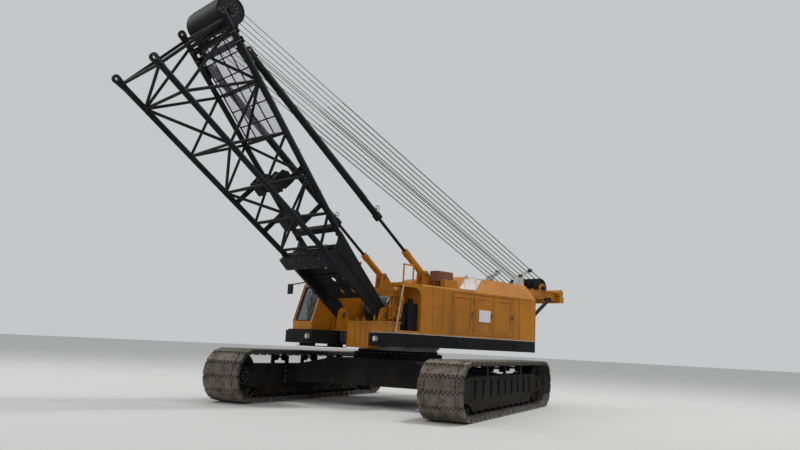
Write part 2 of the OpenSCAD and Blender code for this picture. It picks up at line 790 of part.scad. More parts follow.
// Side plates that carry the three drums between the two houses
module winch_frames() {
    color(yellow) for (s = [-1, 1], d = drum_rows) plate_y(s * (winch_y + 25), 50) difference() {
        union() {
            polygon([[d[0] - 480, deck_z1 + seat], [d[0] + 480, deck_z1 + seat], [d[0] + 190, drum_z],
                [d[0] - 190, drum_z]]);
            translate([d[0], drum_z]) circle(r = 190, $fn = 48);
        }
        translate([d[0], drum_z]) circle(r = 70 + pin_gap, $fn = 48);
    }
}

module drum(x) {
    h = drum_w / 2;
    roll(x, drum_z, -h, h, wound_r, 64);
    for (s = [-1, 1]) roll(x, drum_z, min(s * h, s * (h - 35)), max(s * h, s * (h - 35)), flange_r, 64);
    roll(x, drum_z, -winch_y - 60, winch_y + 60, 70, 48);
}

module front_drum() { color([0.30, 0.30, 0.30]) drum(drum_rows[0][0]); }
module rear_drum() { color([0.30, 0.30, 0.30]) drum(drum_rows[1][0]); }
module hoist_drum() { color([0.30, 0.30, 0.30]) drum(drum_rows[2][0]); }

stop_x = 0;
stop_z = 3450;
post_gap = 190;
post_t = 40;

module backstop_posts() {
    color(yellow) for (s = [-1, 1], k = [-1, 1]) plate_y(s * stop_half + k * (post_gap + post_t) / 2,
        post_t) union() {
        polygon([[stop_x - 430, low_z + seat], [stop_x + 120, low_z + seat], [stop_x + 95, stop_z],
            [stop_x - 90, stop_z + 30]]);
        translate([stop_x, stop_z]) circle(r = 95, $fn = 40);
    }
}

gantry_x = -5600;
gantry_z = 3570;
gantry_foot = -2700;
gantry_end = -6450;
arm_z0 = 3250;
arm_z1 = 3490;
arm_t = 50;
strut_y = gantry_y + 160;
strut_x = gantry_x - 150;

// A stretch of a gantry arm's flange, on its outer side
module arm_flange(s, x0, x1, z) {
    block([x0, min(s * (gantry_y - 15), s * (gantry_y + 75)), z],
        [x1, max(s * (gantry_y - 15), s * (gantry_y + 75)), z + 20]);
}

module gantry() {
    y1 = gantry_y + arm_t / 2;
    color(yellow) {
        for (s = [-1, 1]) plate_y(s * gantry_y, arm_t) difference() {
            union() {
                polygon([[gantry_foot - 60, deck_z1 + seat], [gantry_foot + 60, deck_z1 + seat],
                    [gantry_foot + 60, arm_z1 - 60],
                    [gantry_foot, arm_z1], [gantry_end, arm_z1], [gantry_end, arm_z0],
                        [gantry_foot - 60, arm_z0]]);
                translate([gantry_x, gantry_z]) circle(r = 150, $fn = 48);
            }
            translate([gantry_x, gantry_z]) circle(r = 75 + pin_gap, $fn = 48);
        }
        // Flanges of the arms behind the house
        for (s = [-1, 1]) {
            arm_flange(s, gantry_end, gantry_x + 400, arm_z1 - 15);
            arm_flange(s, gantry_end, strut_x - 110, arm_z0 - 15);
            arm_flange(s, strut_x + 110, gantry_x + 400, arm_z0 - 15);
        }
        // Cross beam behind the house, below the ropes, and the beam and tube at the rear end
        block([deck_rear - 330, -y1, arm_z0 - 180], [deck_rear - 190, y1, arm_z0 + 5]);
        block([gantry_end - 60, -gantry_y - 200, arm_z0 - 90], [gantry_end + 160, gantry_y + 200,
            arm_z0 + 110]);
        roll(gantry_end + 50, arm_z1 - 20, -gantry_y - 170, gantry_y + 170, 115, 48);
        // Lugs of the struts
        for (s = [-1, 1]) plate_y(s * gantry_y, arm_t) translate([strut_x, arm_z0]) circle(r = 95,
            $fn = 40);
    }
}

// Plates that keep the falls between the arms
module gantry_guides() {
    x = gantry_x + 1000;
    color([0.62, 0.62, 0.60]) for (s = [-1, 1]) {
        plate_y(s * gantry_y, 16) polygon([[x - 50, arm_z1 + seat], [x + 520, arm_z1 + seat], [x + 440,
            arm_z1 + 210],
            [x + 300, arm_z1 + 390], [x + 20, arm_z1 + 480], [x - 330, arm_z1 + 640], [x - 380,
                arm_z1 + 560],
            [x - 60, arm_z1 + 400], [x - 30, arm_z1 + 260]]);
        block([x - 20, min(s * (gantry_y - 25), s * (gantry_y + 60)), arm_z1 + seat],
            [x + 490, max(s * (gantry_y - 25), s * (gantry_y + 60)), arm_z1 + 12]);
    }
}

module gantry_struts() {
    z1 = deck_z1 + 110;
    pin_z = arm_z0 - 30;
    color(black) for (s = [-1, 1]) {
        bar([strut_x, s * strut_y, pin_z], [deck_rear - 60, s * strut_y, z1], 55);
        block([deck_rear - 130, s * strut_y - 60, deck_z1 + 20], [deck_rear - seat, s * strut_y + 60,
            z1 + 70]);
        roll(strut_x, pin_z, min(s * (gantry_y + arm_t / 2 + seat), s * (strut_y + 60)),
            max(s * (gantry_y + arm_t / 2 + seat), s * (strut_y + 60)), 62, 32);
    }
}

// A block of grooved sheaves on one shaft along Y
module sheaves(shaft) {
    rotate([90, 0, 0]) {
        for (i = [0:sheave_n - 1]) translate([0, 0, (i - (sheave_n - 1) / 2) * sheave_pitch])
            rotate_extrude($fn = 64)
            polygon([[60, -40], [sheave_r + 25, -40], [sheave_r + 25, -30], [sheave_r - rope_r - seat, -14],
                [sheave_r - rope_r - seat, 14], [sheave_r + 25, 30], [sheave_r + 25, 40], [60, 40]]);
        translate([0, 0, -shaft]) cylinder(r = 75, h = 2 * shaft, $fn = 48);
    }
}

module gantry_sheaves() {
    color(black) translate([gantry_x, 0, gantry_z]) sheaves(gantry_y + 70);
}

// Places the boom base, with X along its centre line from the foot pins
module in_boom() {
    translate([foot_x, 0, foot_z]) rotate([0, -boom_rest, 0]) children();
}

// Places a side truss, whose plane leans out towards the tip
module in_side(s) {
    in_boom() translate([leg_len, s * foot_half, 0]) rotate([0, 0, s * splay]) translate([-leg_len, 0,
        0]) children();
}

// Joints of the lacing along the lower and the upper chords, from the legs to the tip
//            lower  upper
lace_rows = [[2500, 2950],
             [3480, 3980],
             [4530, 5100],
             [5730, 6400],
             [7180, 7700]];
tip_len = (boom_len) / cos(splay);

function low(s) = [s, 0, -s * rise];
function high(s) = [s, 0, s * rise];

module boom_side(s) {
    // Chords, cut square where they meet the plated leg
    difference() {
        in_side(s) for (k = [-1, 1])
            bar([leg_len - 20, 0, k * (leg_len - 20) * rise], [boom_len - 60, 0, k * (boom_len - 60)
                * rise], chord_r);
        in_boom() block([leg_len - 300, s * foot_half - 200, -600], [leg_len + seat,
            s * foot_half + 200, 600]);
    }
    in_side(s) {
        for (i = [0:len(lace_rows) - 1]) {
            bar(low(lace_rows[i][0]), high(lace_rows[i][1]), lace_r, 8);
            if (i > 0) bar(high(lace_rows[i - 1][1]), low(lace_rows[i][0]), lace_r, 8);
        }
        bar(low(boom_len - 160), high(boom_len - 160), lace_r, 8);
    }
    // Lugs for the next boom section
    in_boom() for (k = [-1, 1]) difference() {
        union() {
            roll(boom_len, k * boom_len * rise, s * tip_half - 35, s * tip_half + 35, 95, 48);
            plate_y(s * tip_half, 70) polygon([[boom_len, k * boom_len * rise - 95], [boom_len,
                k * boom_len * rise + 95],
                [boom_len - 280, k * (boom_len - 280) * rise + 60], [boom_len - 280,
                    k * (boom_len - 280) * rise - 60]]);
        }
        roll(boom_len, k * boom_len * rise, s * tip_half - 60, s * tip_half + 60, tip_hole_r, 48);
    }
    // Lug of the backstop on the inner side of the upper chord
    in_boom() {
        difference() {
            plate_y(s * stop_half, 60) union() {
                polygon([[stop_top_s - 200, stop_top_s * rise - 40], [stop_top_s + 200,
                    stop_top_s * rise - 40],
                    [stop_top_s + 75, stop_top_d], [stop_top_s - 75, stop_top_d]]);
                translate([stop_top_s, stop_top_d]) circle(r = 80, $fn = 40);
            }
            roll(stop_top_s, stop_top_d, s * stop_half - 50, s * stop_half + 50, 35 + pin_gap, 40);
        }
        plate_y(s * (stop_half + 45), 90) polygon([[stop_top_s - 200, stop_top_s * rise - 40],
            [stop_top_s + 200, stop_top_s * rise - 40], [stop_top_s + 200, stop_top_s * rise + 40],
            [stop_top_s - 200, stop_top_s * rise + 40]]);
    }
}

stop_top_s = boom_len - 1000;
stop_top_d = 1080;

module boom_side_left() { color(black) boom_side(1); }
module boom_side_right() { color(black) boom_side(-1); }

// Outline of a plated leg: round at the pin, notched between the chords
module leg_outline() {
    difference() {
        union() {
            circle(r = 150, $fn = 48);
            polygon([[0, -150], [leg_len, -leg_len * rise - chord_r], [leg_len,
                leg_len * rise + chord_r], [0, 150]]);
        }
        translate([leg_len + 260, 0]) circle(r = 400, $fn = 64);
        circle(r = foot_pin_r + pin_gap, $fn = 48);
    }
}

module boom_legs() {
    color(black) in_boom() {
        for (s = [-1, 1]) plate_y(s * foot_half, leg_t) leg_outline();
        // Cross plate with round holes, and the box beam under the legs
        difference() {
            block([620, -foot_half, -70], [2250, foot_half, -40]);
            for (x = [850, 1250, 1650, 2050], y = [-450, 0, 450]) translate([x, y, -100])
                cylinder(r = 75, h = 200, $fn = 40);
        }
        block([2000, -foot_half - 30, -520], [2340, foot_half + 30, -240]);
        // Cross tubes high between the legs
        for (x = [1450, 2150]) roll(x, 90, -foot_half, foot_half, 62, 32);
    }
}

// Lacing of the upper or lower face, cut to seat between the chords
module face_lacing(k, col) {
    w0 = foot_half;
    w = function (s) w0 + (s - leg_len) * tan(splay);
    p = function (s, side) [s, side * w(s), k * s * rise];
    in_boom() difference() {
        union() {
            for (i = [0:len(lace_rows) - 1]) {
                bar(p(lace_rows[i][col], -1), p(lace_rows[i][col], 1), lace_r, 8);
                if (i > 0) bar(p(lace_rows[i - 1][col], pow(-1, i)), p(lace_rows[i][col], -pow(-1, i)),
                    lace_r, 8);
            }
            bar(p(lace_rows[4][col], -1), p(boom_len - 160, 1), lace_r, 8);
            bar(p(boom_len - 160, -1), p(boom_len - 160, 1), lace_r, 8);
            // Deep cross member of the upper face next to the legs
            if (k > 0) block([leg_len + 130, -w0, 240], [leg_len + 280, w0, 390]);
        }
        for (s = [-1, 1]) bar([leg_len - 50, s * w(leg_len - 50), k * (leg_len - 50) * rise],
            [boom_len + 50, s * w(boom_len + 50), k * (boom_len + 50) * rise], chord_r + seat);
    }
}

module boom_top_lacing() { color(black) face_lacing(1, 1); }
module boom_bottom_lacing() { color(black) face_lacing(-1, 0); }

// Grating walkway that lies on the struts of the upper face
module boom_walkway() {
    color([0.45, 0.43, 0.50]) in_boom() rotate([0, -chord_slope, 0]) translate([0, 0, lace_r + seat])
        difference() {
        block([boom_len - 2900, -780, 0], [boom_len - 400, 780, 22]);
        for (i = [0:5], j = [0:3]) block([boom_len - 2870 + i * 410, -750 + j * 378, -5],
            [boom_len - 2870 + i * 410 + 380, -750 + j * 378 + 352, 40]);
    }
}

// Rollers that lead the ropes through the boom base, on cross shafts between the side trusses
//              s     d     y
guide_rows = [[4200, 120, -360],
              [4200, 120, 360],
              [3200, -60, 0]];
module rope_guides() {
    color(black) in_boom() {
        for (g = guide_rows) {
            // Roller with a square cheek on each side and a closed back
            roll(g[0], g[1], g[2] - 120, g[2] + 120, 175, 48);
            for (k = [-1, 1]) plate_y(g[2] + k * 150, 24) polygon([[g[0] - 190, g[1] - 120],
                [g[0] - 60, g[1] - 230],
                [g[0] + 190, g[1] - 230], [g[0] + 210, g[1] + 110], [g[0] + 80, g[1] + 220],
                    [g[0] - 190, g[1] + 200]]);
            block([g[0] - 190, g[2] - 160, g[1] - 230], [g[0] + 190, g[2] + 160, g[1] - 205]);
        }
        for (g = [guide_rows[0], guide_rows[2]]) {
            y = foot_half + (g[0] - leg_len) * tan(splay) - chord_r - 2;
            roll(g[0], g[1], -y + 10, y - 10, 45, 32);
            for (k = [-1, 1]) plate_y(k * (y - 15), 30) polygon([[g[0] - 60, -g[0] * rise], [g[0] + 60,
                -g[0] * rise],
                [g[0] + 60, g[0] * rise], [g[0] - 60, g[0] * rise]]);
        }
    }
}

head_s = boom_len - 100;
head_d = 1400;
head_y = 700;

// Outline of a side plate of the head block, in the boom's own X and Z
module head_outline() {
    a = head_s - 620;
    b = head_s + 120;
    difference() {
        union() {
            polygon([[a, a * rise + chord_r + 20], [b, b * rise + chord_r + 20], [head_s + 290,
                head_d], [head_s - 290, head_d]]);
            translate([head_s, head_d]) circle(r = 340, $fn = 64);
        }
        translate([head_s, head_d]) circle(r = 75 + pin_gap, $fn = 48);
    }
}

module head_block() {
    // Places of the two cross beams along the upper chords
    beams = [boom_len - 720, boom_len - 490];
    color(black) in_boom() {
        for (s = [-1, 1]) plate_y(s * head_y, 60) head_outline();
        rotate([0, -chord_slope, 0]) for (u = beams)
            block([u, -tip_half - 60, chord_r + seat], [u + 150, tip_half + 60, chord_r + 34]);
        // Curved cover below the sheaves
        translate([head_s, 0, head_d]) plate_y(0, 2 * head_y) difference() {
            circle(r = 352, $fn = 96);
            circle(r = 338, $fn = 96);
            polygon([[0, 0], [-84, -594], [-600, -594], [-600, 600], [600, 600], [600, -52]]);
        }
        // Upright plates between the cover and the cross beams
        for (y = [-350, 0, 350]) plate_y(y, 20) polygon([[head_s - 560, (head_s - 560)
            * rise + chord_r + 100],
            [head_s - 240, (head_s - 240) * rise + chord_r + 100], [head_s - 40, head_d - 345],
                [head_s - 90, head_d - 345]]);
    }
}

module head_sheaves() {
    color(black) in_boom() translate([head_s, 0, head_d]) sheaves(head_y + 60);
}

// World places of the head shaft and the backstop's upper pin
function boom_pt(s, d) = [foot_x + s * cos(boom_rest) - d * sin(boom_rest), foot_z + s * sin(boom_rest)
    + d * cos(boom_rest)];
head_at = boom_pt(head_s, head_d);
stop_at = boom_pt(stop_top_s, stop_top_d);
stop_dir = [stop_x, stop_z] - stop_at;
stop_len = norm(stop_dir);
stop_ang = atan2(stop_dir[1], stop_dir[0]);

// Places a backstop, with X from its upper pin to its lower eye
module in_stop(s) {
    translate([stop_at[0], s * stop_half, stop_at[1]]) rotate([0, -stop_ang, 0]) children();
}

module backstop_tubes() {
    color(black) for (s = [-1, 1]) in_stop(s) {
        difference() {
            roll_x(150, stop_tube_len, 0, 0, stop_tube_r);
            roll_x(stop_tube_len - 3900, stop_tube_len + 10, 0, 0, stop_rod_r + 6);
        }
        // Fork at the upper pin
        for (k = [-1, 1]) plate_y(k * 57, 40) union() {
            circle(r = 85, $fn = 40);
            polygon([[0, -85], [220, -75], [220, 75], [0, 85]]);
        }
        roll(0, 0, -80, 80, 35, 40);
        // Collar and ring at the lower end
        difference() {
            roll_x(stop_tube_len - 120, stop_tube_len + 40, 0, 0, stop_tube_r + 22);
            roll_x(stop_tube_len - 130, stop_tube_len + 5, 0, 0, stop_rod_r + 6);
            roll_x(stop_tube_len - 10, stop_tube_len + 50, 0, 0, stop_rod_r + seat);
        }
    }
}

sleeve_len = 900;
sleeve_bore = 400;

module backstop_rods() {
    color(black) for (s = [-1, 1]) in_stop(s) roll_x(stop_tube_len - 1650, stop_len - sleeve_bore, 0,
        0, stop_rod_r);
}

// Thick sleeves with the eyes at the lower ends of the rods
module backstop_sleeves() {
    color(yellow) for (s = [-1, 1]) in_stop(s) difference() {
        union() {
            roll_x(stop_len - sleeve_len, stop_len - 110, 0, 0, 86);
            roll_x(stop_len - sleeve_len + 90, stop_len - sleeve_len + 170, 0, 0, 98);
            roll(stop_len, 0, -60, 60, 95);
            block([stop_len - 200, -60, -60], [stop_len, 60, 60]);
        }
        roll(stop_len, 0, -80, 80, 36);
        roll_x(stop_len - sleeve_len - 10, stop_len - sleeve_bore + seat, 0, 0, stop_rod_r + seat);
    }
}

// Falls of the boom hoist rope between the two blocks
fall_dir = head_at - [gantry_x, gantry_z];
fall_len = norm(fall_dir);
fall_ang = atan2(fall_dir[1], fall_dir[0]);
fall_lower = 9300;
fall_upper = 5650;
fall_skew = atan(0.0036);

module falls_lower() {
    color([0.16, 0.16, 0.17]) translate([gantry_x, 0, gantry_z]) rotate([0, -fall_ang, 0])
        for (i = [0:sheave_n - 1], k = [-1, 1]) translate([0, (i - (sheave_n - 1) / 2) * sheave_pitch,
            k * sheave_r])
            rotate([0, 0, -fall_skew]) roll_x(0, fall_lower, 0, 0, rope_r, 16);
}

module falls_upper() {
    color([0.16, 0.16, 0.17]) translate([gantry_x, 0, gantry_z]) rotate([0, -fall_ang, 0])
        for (i = [0:sheave_n - 1], k = [-1, 1]) translate([fall_len, (i - (sheave_n - 1) / 2)
            * sheave_pitch, k * sheave_r])
            rotate([0, 0, -fall_skew]) roll_x(-fall_upper, 0, 0, 0, rope_r, 16);
}

carbody();
side_frames();
track_left();
track_right();
track_wheels();
rollers();
travel_drives();
slew_ring();
revolving_frame();
front_frame();
house_left();
house_right();
door_l1();
door_l2();
door_l3();
door_r1();
door_r2();
door_r3();
rear_grille();
engine();
muffler();
cab();
cab_glass();
cab_interior();
cab_door();
cab_door_glass();
side_mirror();
handrail();
lamps();
roof_panel();
entry_tank();
pipe_rack();
warning_lamp();
winch_frames();
front_drum();
rear_drum();
hoist_drum();
backstop_posts();
gantry();
gantry_guides();
gantry_struts();
gantry_sheaves();
boom_legs();
boom_side_left();
boom_side_right();
boom_top_lacing();
boom_bottom_lacing();
boom_walkway();
rope_guides();
head_block();
head_sheaves();
backstop_tubes();
backstop_rods();
backstop_sleeves();
falls_lower();
falls_upper();
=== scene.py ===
"""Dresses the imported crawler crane: paint, steel and glass finishes, fittings, floor, light and camera."""

import json
import math
import bpy
import bmesh
from bpy.props import FloatProperty, FloatVectorProperty, PointerProperty
from itertools import product
from mathutils import Matrix, Vector


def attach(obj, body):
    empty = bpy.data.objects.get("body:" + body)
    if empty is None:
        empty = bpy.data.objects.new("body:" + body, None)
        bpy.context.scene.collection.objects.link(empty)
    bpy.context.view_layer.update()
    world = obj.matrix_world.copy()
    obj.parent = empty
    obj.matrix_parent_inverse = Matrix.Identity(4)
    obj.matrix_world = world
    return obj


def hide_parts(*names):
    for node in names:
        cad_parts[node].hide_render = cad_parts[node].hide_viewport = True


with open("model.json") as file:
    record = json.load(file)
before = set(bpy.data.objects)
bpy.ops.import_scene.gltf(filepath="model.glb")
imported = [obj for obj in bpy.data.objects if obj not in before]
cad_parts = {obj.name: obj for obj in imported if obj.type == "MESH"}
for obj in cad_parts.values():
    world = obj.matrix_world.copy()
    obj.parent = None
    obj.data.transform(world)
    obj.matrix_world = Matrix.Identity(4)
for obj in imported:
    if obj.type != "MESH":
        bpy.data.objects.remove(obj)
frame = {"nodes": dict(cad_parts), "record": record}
NODES = frame["nodes"]
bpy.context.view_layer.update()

bl_info = {
    "name": "Crawler crane",
    "version": (1, 0, 0),
    "blender": (4, 5, 0),
    "location": "3D View > Sidebar > Crane",
    "description": "Finishes and fittings for the packed crawler crane",
    "category": "Object",
}


# Node tools

def put(tree, kind, values=None, **settings):
    """Adds a node to a tree and sets its plain values."""
    node = tree.nodes.new(kind)
    for name, value in settings.items():
        setattr(node, name, value)
    for key, value in (values or {}).items():
        node.inputs[key].default_value = value
    return node


def feed(tree, value, socket):
    """Links a socket to another one, or sets its number or colour."""
    if isinstance(value, bpy.types.NodeSocket):
        tree.links.new(value, socket)
    else:
        socket.default_value = (*value, 1.0) if isinstance(value, tuple) else value


def new_group(name, inputs, output):
    """A shader group with named number inputs and one number output, and its two end nodes."""
    tree = bpy.data.node_groups.new(name, "ShaderNodeTree")
    for key, value in inputs.items():
        socket = tree.interface.new_socket(name=key, in_out="INPUT", socket_type="NodeSocketFloat")
        socket.default_value = value
    tree.interface.new_socket(name=output, in_out="OUTPUT", socket_type="NodeSocketFloat")
    return tree, tree.nodes.new("NodeGroupInput").outputs, tree.nodes.new("NodeGroupOutput").inputs[output]


def math_node(tree, operation, a, b, clamp=False):
    """A math node fed by sockets or numbers. Returns its output."""
    node = put(tree, "ShaderNodeMath", operation=operation, use_clamp=clamp)
    feed(tree, a, node.inputs[0])
    feed(tree, b, node.inputs[1])
    return node.outputs[0]


def ramp(tree, value, low, high):
    """Smoothly maps a value from low..high to 0..1."""
    node = put(tree, "ShaderNodeMapRange", {"From Min": low, "From Max": high},
               interpolation_type="SMOOTHSTEP", clamp=True)
    feed(tree, value, node.inputs["Value"])
    return node.outputs["Result"]


def place(tree):
    """Coordinates in metres that stay with the piece."""
    return put(tree, "ShaderNodeTexCoord").outputs["Object"]


def noise(tree, scale, detail=4.0, stretch=None, rough=0.55):
    """Noise over the piece's own coordinates."""
    coords = place(tree)
    if stretch:
        mapping = put(tree, "ShaderNodeMapping", {"Scale": stretch})
        feed(tree, coords, mapping.inputs["Vector"])
        coords = mapping.outputs["Vector"]
    node = put(tree, "ShaderNodeTexNoise", {"Detail": detail, "Roughness": rough})
    feed(tree, coords, node.inputs["Vector"])
    feed(tree, scale, node.inputs["Scale"])
    return node.outputs["Fac"]


def height_of(tree, vector):
    """The upward part of a vector."""
    split = put(tree, "ShaderNodeSeparateXYZ")
    feed(tree, vector, split.inputs[0])
    return split.outputs["Z"]


def tone_change():
    """Slow change of tone over a surface."""
    tree, own, out = new_group("Tone Change", {"Scale": 1.5}, "Value")
    feed(tree, ramp(tree, noise(tree, own["Scale"], 5.0), 0.3, 0.7), out)
    return tree


def dust_cover():
    """Dust that lies on upward faces and builds up towards the ground."""
    tree, own, out = new_group("Dust", {"Top": 0.3, "Low": 0.4, "Height": 1.2, "Scale": 3.0}, "Mask")
    facing = height_of(tree, put(tree, "ShaderNodeNewGeometry").outputs["Normal"])
    up = math_node(tree, "MULTIPLY", ramp(tree, facing, 0.35, 0.95), own["Top"])
    rise = put(tree, "ShaderNodeMapRange", {"From Min": 0.0}, interpolation_type="SMOOTHSTEP", clamp=True)
    feed(tree, height_of(tree, place(tree)), rise.inputs["Value"])
    feed(tree, own["Height"], rise.inputs["From Max"])
    low = math_node(tree, "SUBTRACT", 1.0, rise.outputs["Result"])
    both = math_node(tree, "ADD", up, math_node(tree, "MULTIPLY", low, own["Low"]))
    cloud = ramp(tree, noise(tree, own["Scale"], 8.0, rough=0.65), 0.3, 0.62)
    feed(tree, math_node(tree, "MULTIPLY", both, cloud, True), out)
    return tree


def run_stains():
    """Vertical stains that run down walls."""
    tree, own, out = new_group("Run Stains", {"Amount": 0.4, "Scale": 9.0}, "Mask")
    lines = noise(tree, own["Scale"], 3.0, stretch=(1.0, 1.0, 0.06))
    mask = math_node(tree, "MULTIPLY", ramp(tree, lines, 0.52, 0.72), noise(tree, 1.3, 2.0))
    feed(tree, math_node(tree, "MULTIPLY", mask, own["Amount"], True), out)
    return tree


def edge_wear():
    """Paint worn through along edges and corners, in broken patches."""
    tree, own, out = new_group("Edge Wear", {"Amount": 0.6, "Chips": 22.0}, "Mask")
    dot = put(tree, "ShaderNodeVectorMath", operation="DOT_PRODUCT")
    feed(tree, put(tree, "ShaderNodeBevel", {"Radius": 0.012}, samples=4).outputs["Normal"], dot.inputs[0])
    feed(tree, put(tree, "ShaderNodeNewGeometry").outputs["Normal"], dot.inputs[1])
    edge = ramp(tree, math_node(tree, "SUBTRACT", 1.0, dot.outputs["Value"]), 0.02, 0.16)
    chips = ramp(tree, noise(tree, own["Chips"], 6.0, rough=0.7), 0.44, 0.56)
    mask = math_node(tree, "MULTIPLY", edge, chips)
    feed(tree, math_node(tree, "MULTIPLY", mask, own["Amount"], True), out)
    return tree


GROUPS = {"Tone Change": tone_change, "Dust": dust_cover, "Run Stains": run_stains, "Edge Wear": edge_wear}


def use(tree, name, **values):
    """Places a group in a material with its own values and returns its output. A group is made once."""
    node = put(tree, "ShaderNodeGroup")
    node.node_tree = bpy.data.node_groups.get(name) or GROUPS[name]()
    for key, value in values.items():
        node.inputs[key].default_value = value
    return node.outputs[0]


def mix(tree, fac, a, b):
    """Mixes two colours, each a socket or a plain colour."""
    node = put(tree, "ShaderNodeMix", data_type="RGBA")
    for i, value in ((0, fac), (6, a), (7, b)):
        feed(tree, value, node.inputs[i])
    return node.outputs[2]


def shade(colour, factor):
    """A colour made darker or lighter."""
    return tuple(min(1.0, c * factor) for c in colour)


def base_material(name):
    """An empty node material with its Principled shader's sockets."""
    mat = bpy.data.materials.new(name)
    mat.use_nodes = True
    return mat, mat.node_tree, mat.node_tree.nodes["Principled BSDF"].inputs


def bump(tree, shader, height, strength, distance):
    """Feeds a height to the shader's normal."""
    node = put(tree, "ShaderNodeBump", {"Strength": strength, "Distance": distance})
    feed(tree, height, node.inputs["Height"])
    feed(tree, node.outputs["Normal"], shader["Normal"])


def paint(name, dust, colour, worn, rough=0.42, tone=0.12, top=0.3, low=0.3, height=2.0, wear=0.5, streak=0.3,
          coat=0.12, shine=0.5):
    """Painted steel with tone changes, dust, run stains and worn edges."""
    mat, tree, shader = base_material(name)
    dark, light = shade(colour, 1.0 - tone * 1.4), shade(colour, 1.0 + tone)
    col = mix(tree, use(tree, "Tone Change", Scale=1.4), dark, light)
    fine = noise(tree, 60.0, 3.0)
    col = mix(tree, use(tree, "Run Stains", Amount=streak, Scale=9.0), col, shade(dust, 0.35))
    lying = use(tree, "Dust", Top=top, Low=low, Height=height, Scale=2.6)
    col = mix(tree, lying, col, dust)
    bare = use(tree, "Edge Wear", Amount=wear, Chips=22.0)
    feed(tree, mix(tree, bare, col, worn), shader["Base Color"])
    r = math_node(tree, "ADD", math_node(tree, "MULTIPLY", lying, 0.5), rough)
    r = math_node(tree, "ADD", r, math_node(tree, "MULTIPLY", fine, 0.12), True)
    feed(tree, r, shader["Roughness"])
    feed(tree, coat, shader["Coat Weight"])
    feed(tree, shine, shader["Specular IOR Level"])
    feed(tree, 0.25, shader["Coat Roughness"])
    dents = math_node(tree, "ADD", noise(tree, 7.0, 2.0), math_node(tree, "MULTIPLY", bare, -0.6))
    bump(tree, shader, dents, 0.16, 0.004)
    return mat


def steel(name, colour, rust, rough, metallic, rusting, scale, dirt):
    """Bare or oiled steel with patches of rust and dirt."""
    mat, tree, shader = base_material(name)
    patches = ramp(tree, noise(tree, scale, 8.0, rough=0.68), 0.62 - 0.3 * rusting, 0.74 - 0.2 * rusting)
    col = mix(tree, use(tree, "Tone Change", Scale=3.0), shade(colour, 0.72), colour)
    lying = use(tree, "Dust", Top=dirt, Low=dirt, Height=1.5, Scale=5.0)
    feed(tree, mix(tree, lying, mix(tree, patches, col, rust), (0.33, 0.29, 0.23)), shader["Base Color"])
    metal = math_node(tree, "MULTIPLY", math_node(tree, "SUBTRACT", 1.0, patches), metallic)
    clean = math_node(tree, "SUBTRACT", 1.0, lying)
    feed(tree, math_node(tree, "MULTIPLY", metal, clean, True), shader["Metallic"])
    r = math_node(tree, "ADD", math_node(tree, "MULTIPLY", patches, 0.35), rough, True)
    feed(tree, r, shader["Roughness"])
    bump(tree, shader, noise(tree, scale * 4.0, 5.0), 0.22, 0.003)
    return mat


def glass(name, colour):
    """Tinted window glass with a little dust."""
    mat, tree, shader = base_material(name)
    lying = use(tree, "Dust", Top=0.1, Low=0.25, Height=4.0, Scale=4.0)
    feed(tree, mix(tree, lying, colour, (0.5, 0.47, 0.4)), shader["Base Color"])
    r = math_node(tree, "ADD", math_node(tree, "MULTIPLY", lying, 0.4), 0.04, True)
    feed(tree, r, shader["Roughness"])
    feed(tree, 0.42, shader["Alpha"])
    feed(tree, 1.5, shader["IOR"])
    return mat


# Paints, rubbers and cloth: the colour, or the look's name of it, and what differs from plain paint
SOFT = {"wear": 0.0, "streak": 0.0, "coat": 0.0}
PAINTS = {
    "undercarriage_paint": dict(colour="black", worn=(0.16, 0.13, 0.11), rough=0.62, tone=0.3, top=0.14,
                                low=0.07, height=1.2, wear=0.15, streak=0.15, coat=0.0, shine=0.1),
    "black_paint": dict(colour="black", worn=(0.14, 0.11, 0.09), rough=0.55, tone=0.25, top=0.05, low=0.03,
                        height=2.4, wear=0.2, streak=0.1, coat=0.0, shine=0.14),
    "yellow_paint": dict(colour="yellow", worn=(0.10, 0.055, 0.03), top=0.1, low=0.07, height=3.0, streak=0.6,
                         coat=0.06, shine=0.25),
    "engine_paint": dict(colour=(0.2, 0.22, 0.23), worn=(0.1, 0.08, 0.07), rough=0.5, tone=0.2),
    "cab_trim": dict(colour=(0.05, 0.05, 0.055), worn=(0.1, 0.1, 0.1), rough=0.6, tone=0.2, top=0.2, low=0.2,
                     **SOFT),
    "grey_paint": dict(colour=(0.5, 0.5, 0.49), worn=(0.2, 0.16, 0.13), rough=0.45, tone=0.1),
    "red_lens": dict(colour=(0.6, 0.03, 0.04), worn=(0.3, 0.05, 0.05), rough=0.2, tone=0.05, wear=0.0,
                     streak=0.0, coat=0.5),
    "white_plate": dict(colour=(0.72, 0.73, 0.75), worn=(0.5, 0.5, 0.5), rough=0.4, tone=0.04, wear=0.1,
                        streak=0.15),
    "hose": dict(colour=(0.022, 0.022, 0.024), worn=(0.05, 0.05, 0.05), rough=0.5, tone=0.1, **SOFT),
    "worn_hose": dict(colour=(0.07, 0.075, 0.08), worn=(0.05, 0.05, 0.05), rough=0.6, tone=0.3, **SOFT),
    "rubber": dict(colour=(0.02, 0.02, 0.021), worn=(0.04, 0.04, 0.04), rough=0.65, tone=0.1, **SOFT),
    "seam": dict(colour=(0.10, 0.055, 0.01), worn=(0.08, 0.05, 0.02), rough=0.7, tone=0.1, **SOFT),
    "seat_cloth": dict(colour=(0.035, 0.035, 0.04), worn=(0.05, 0.05, 0.05), rough=0.9, tone=0.15, **SOFT),
}

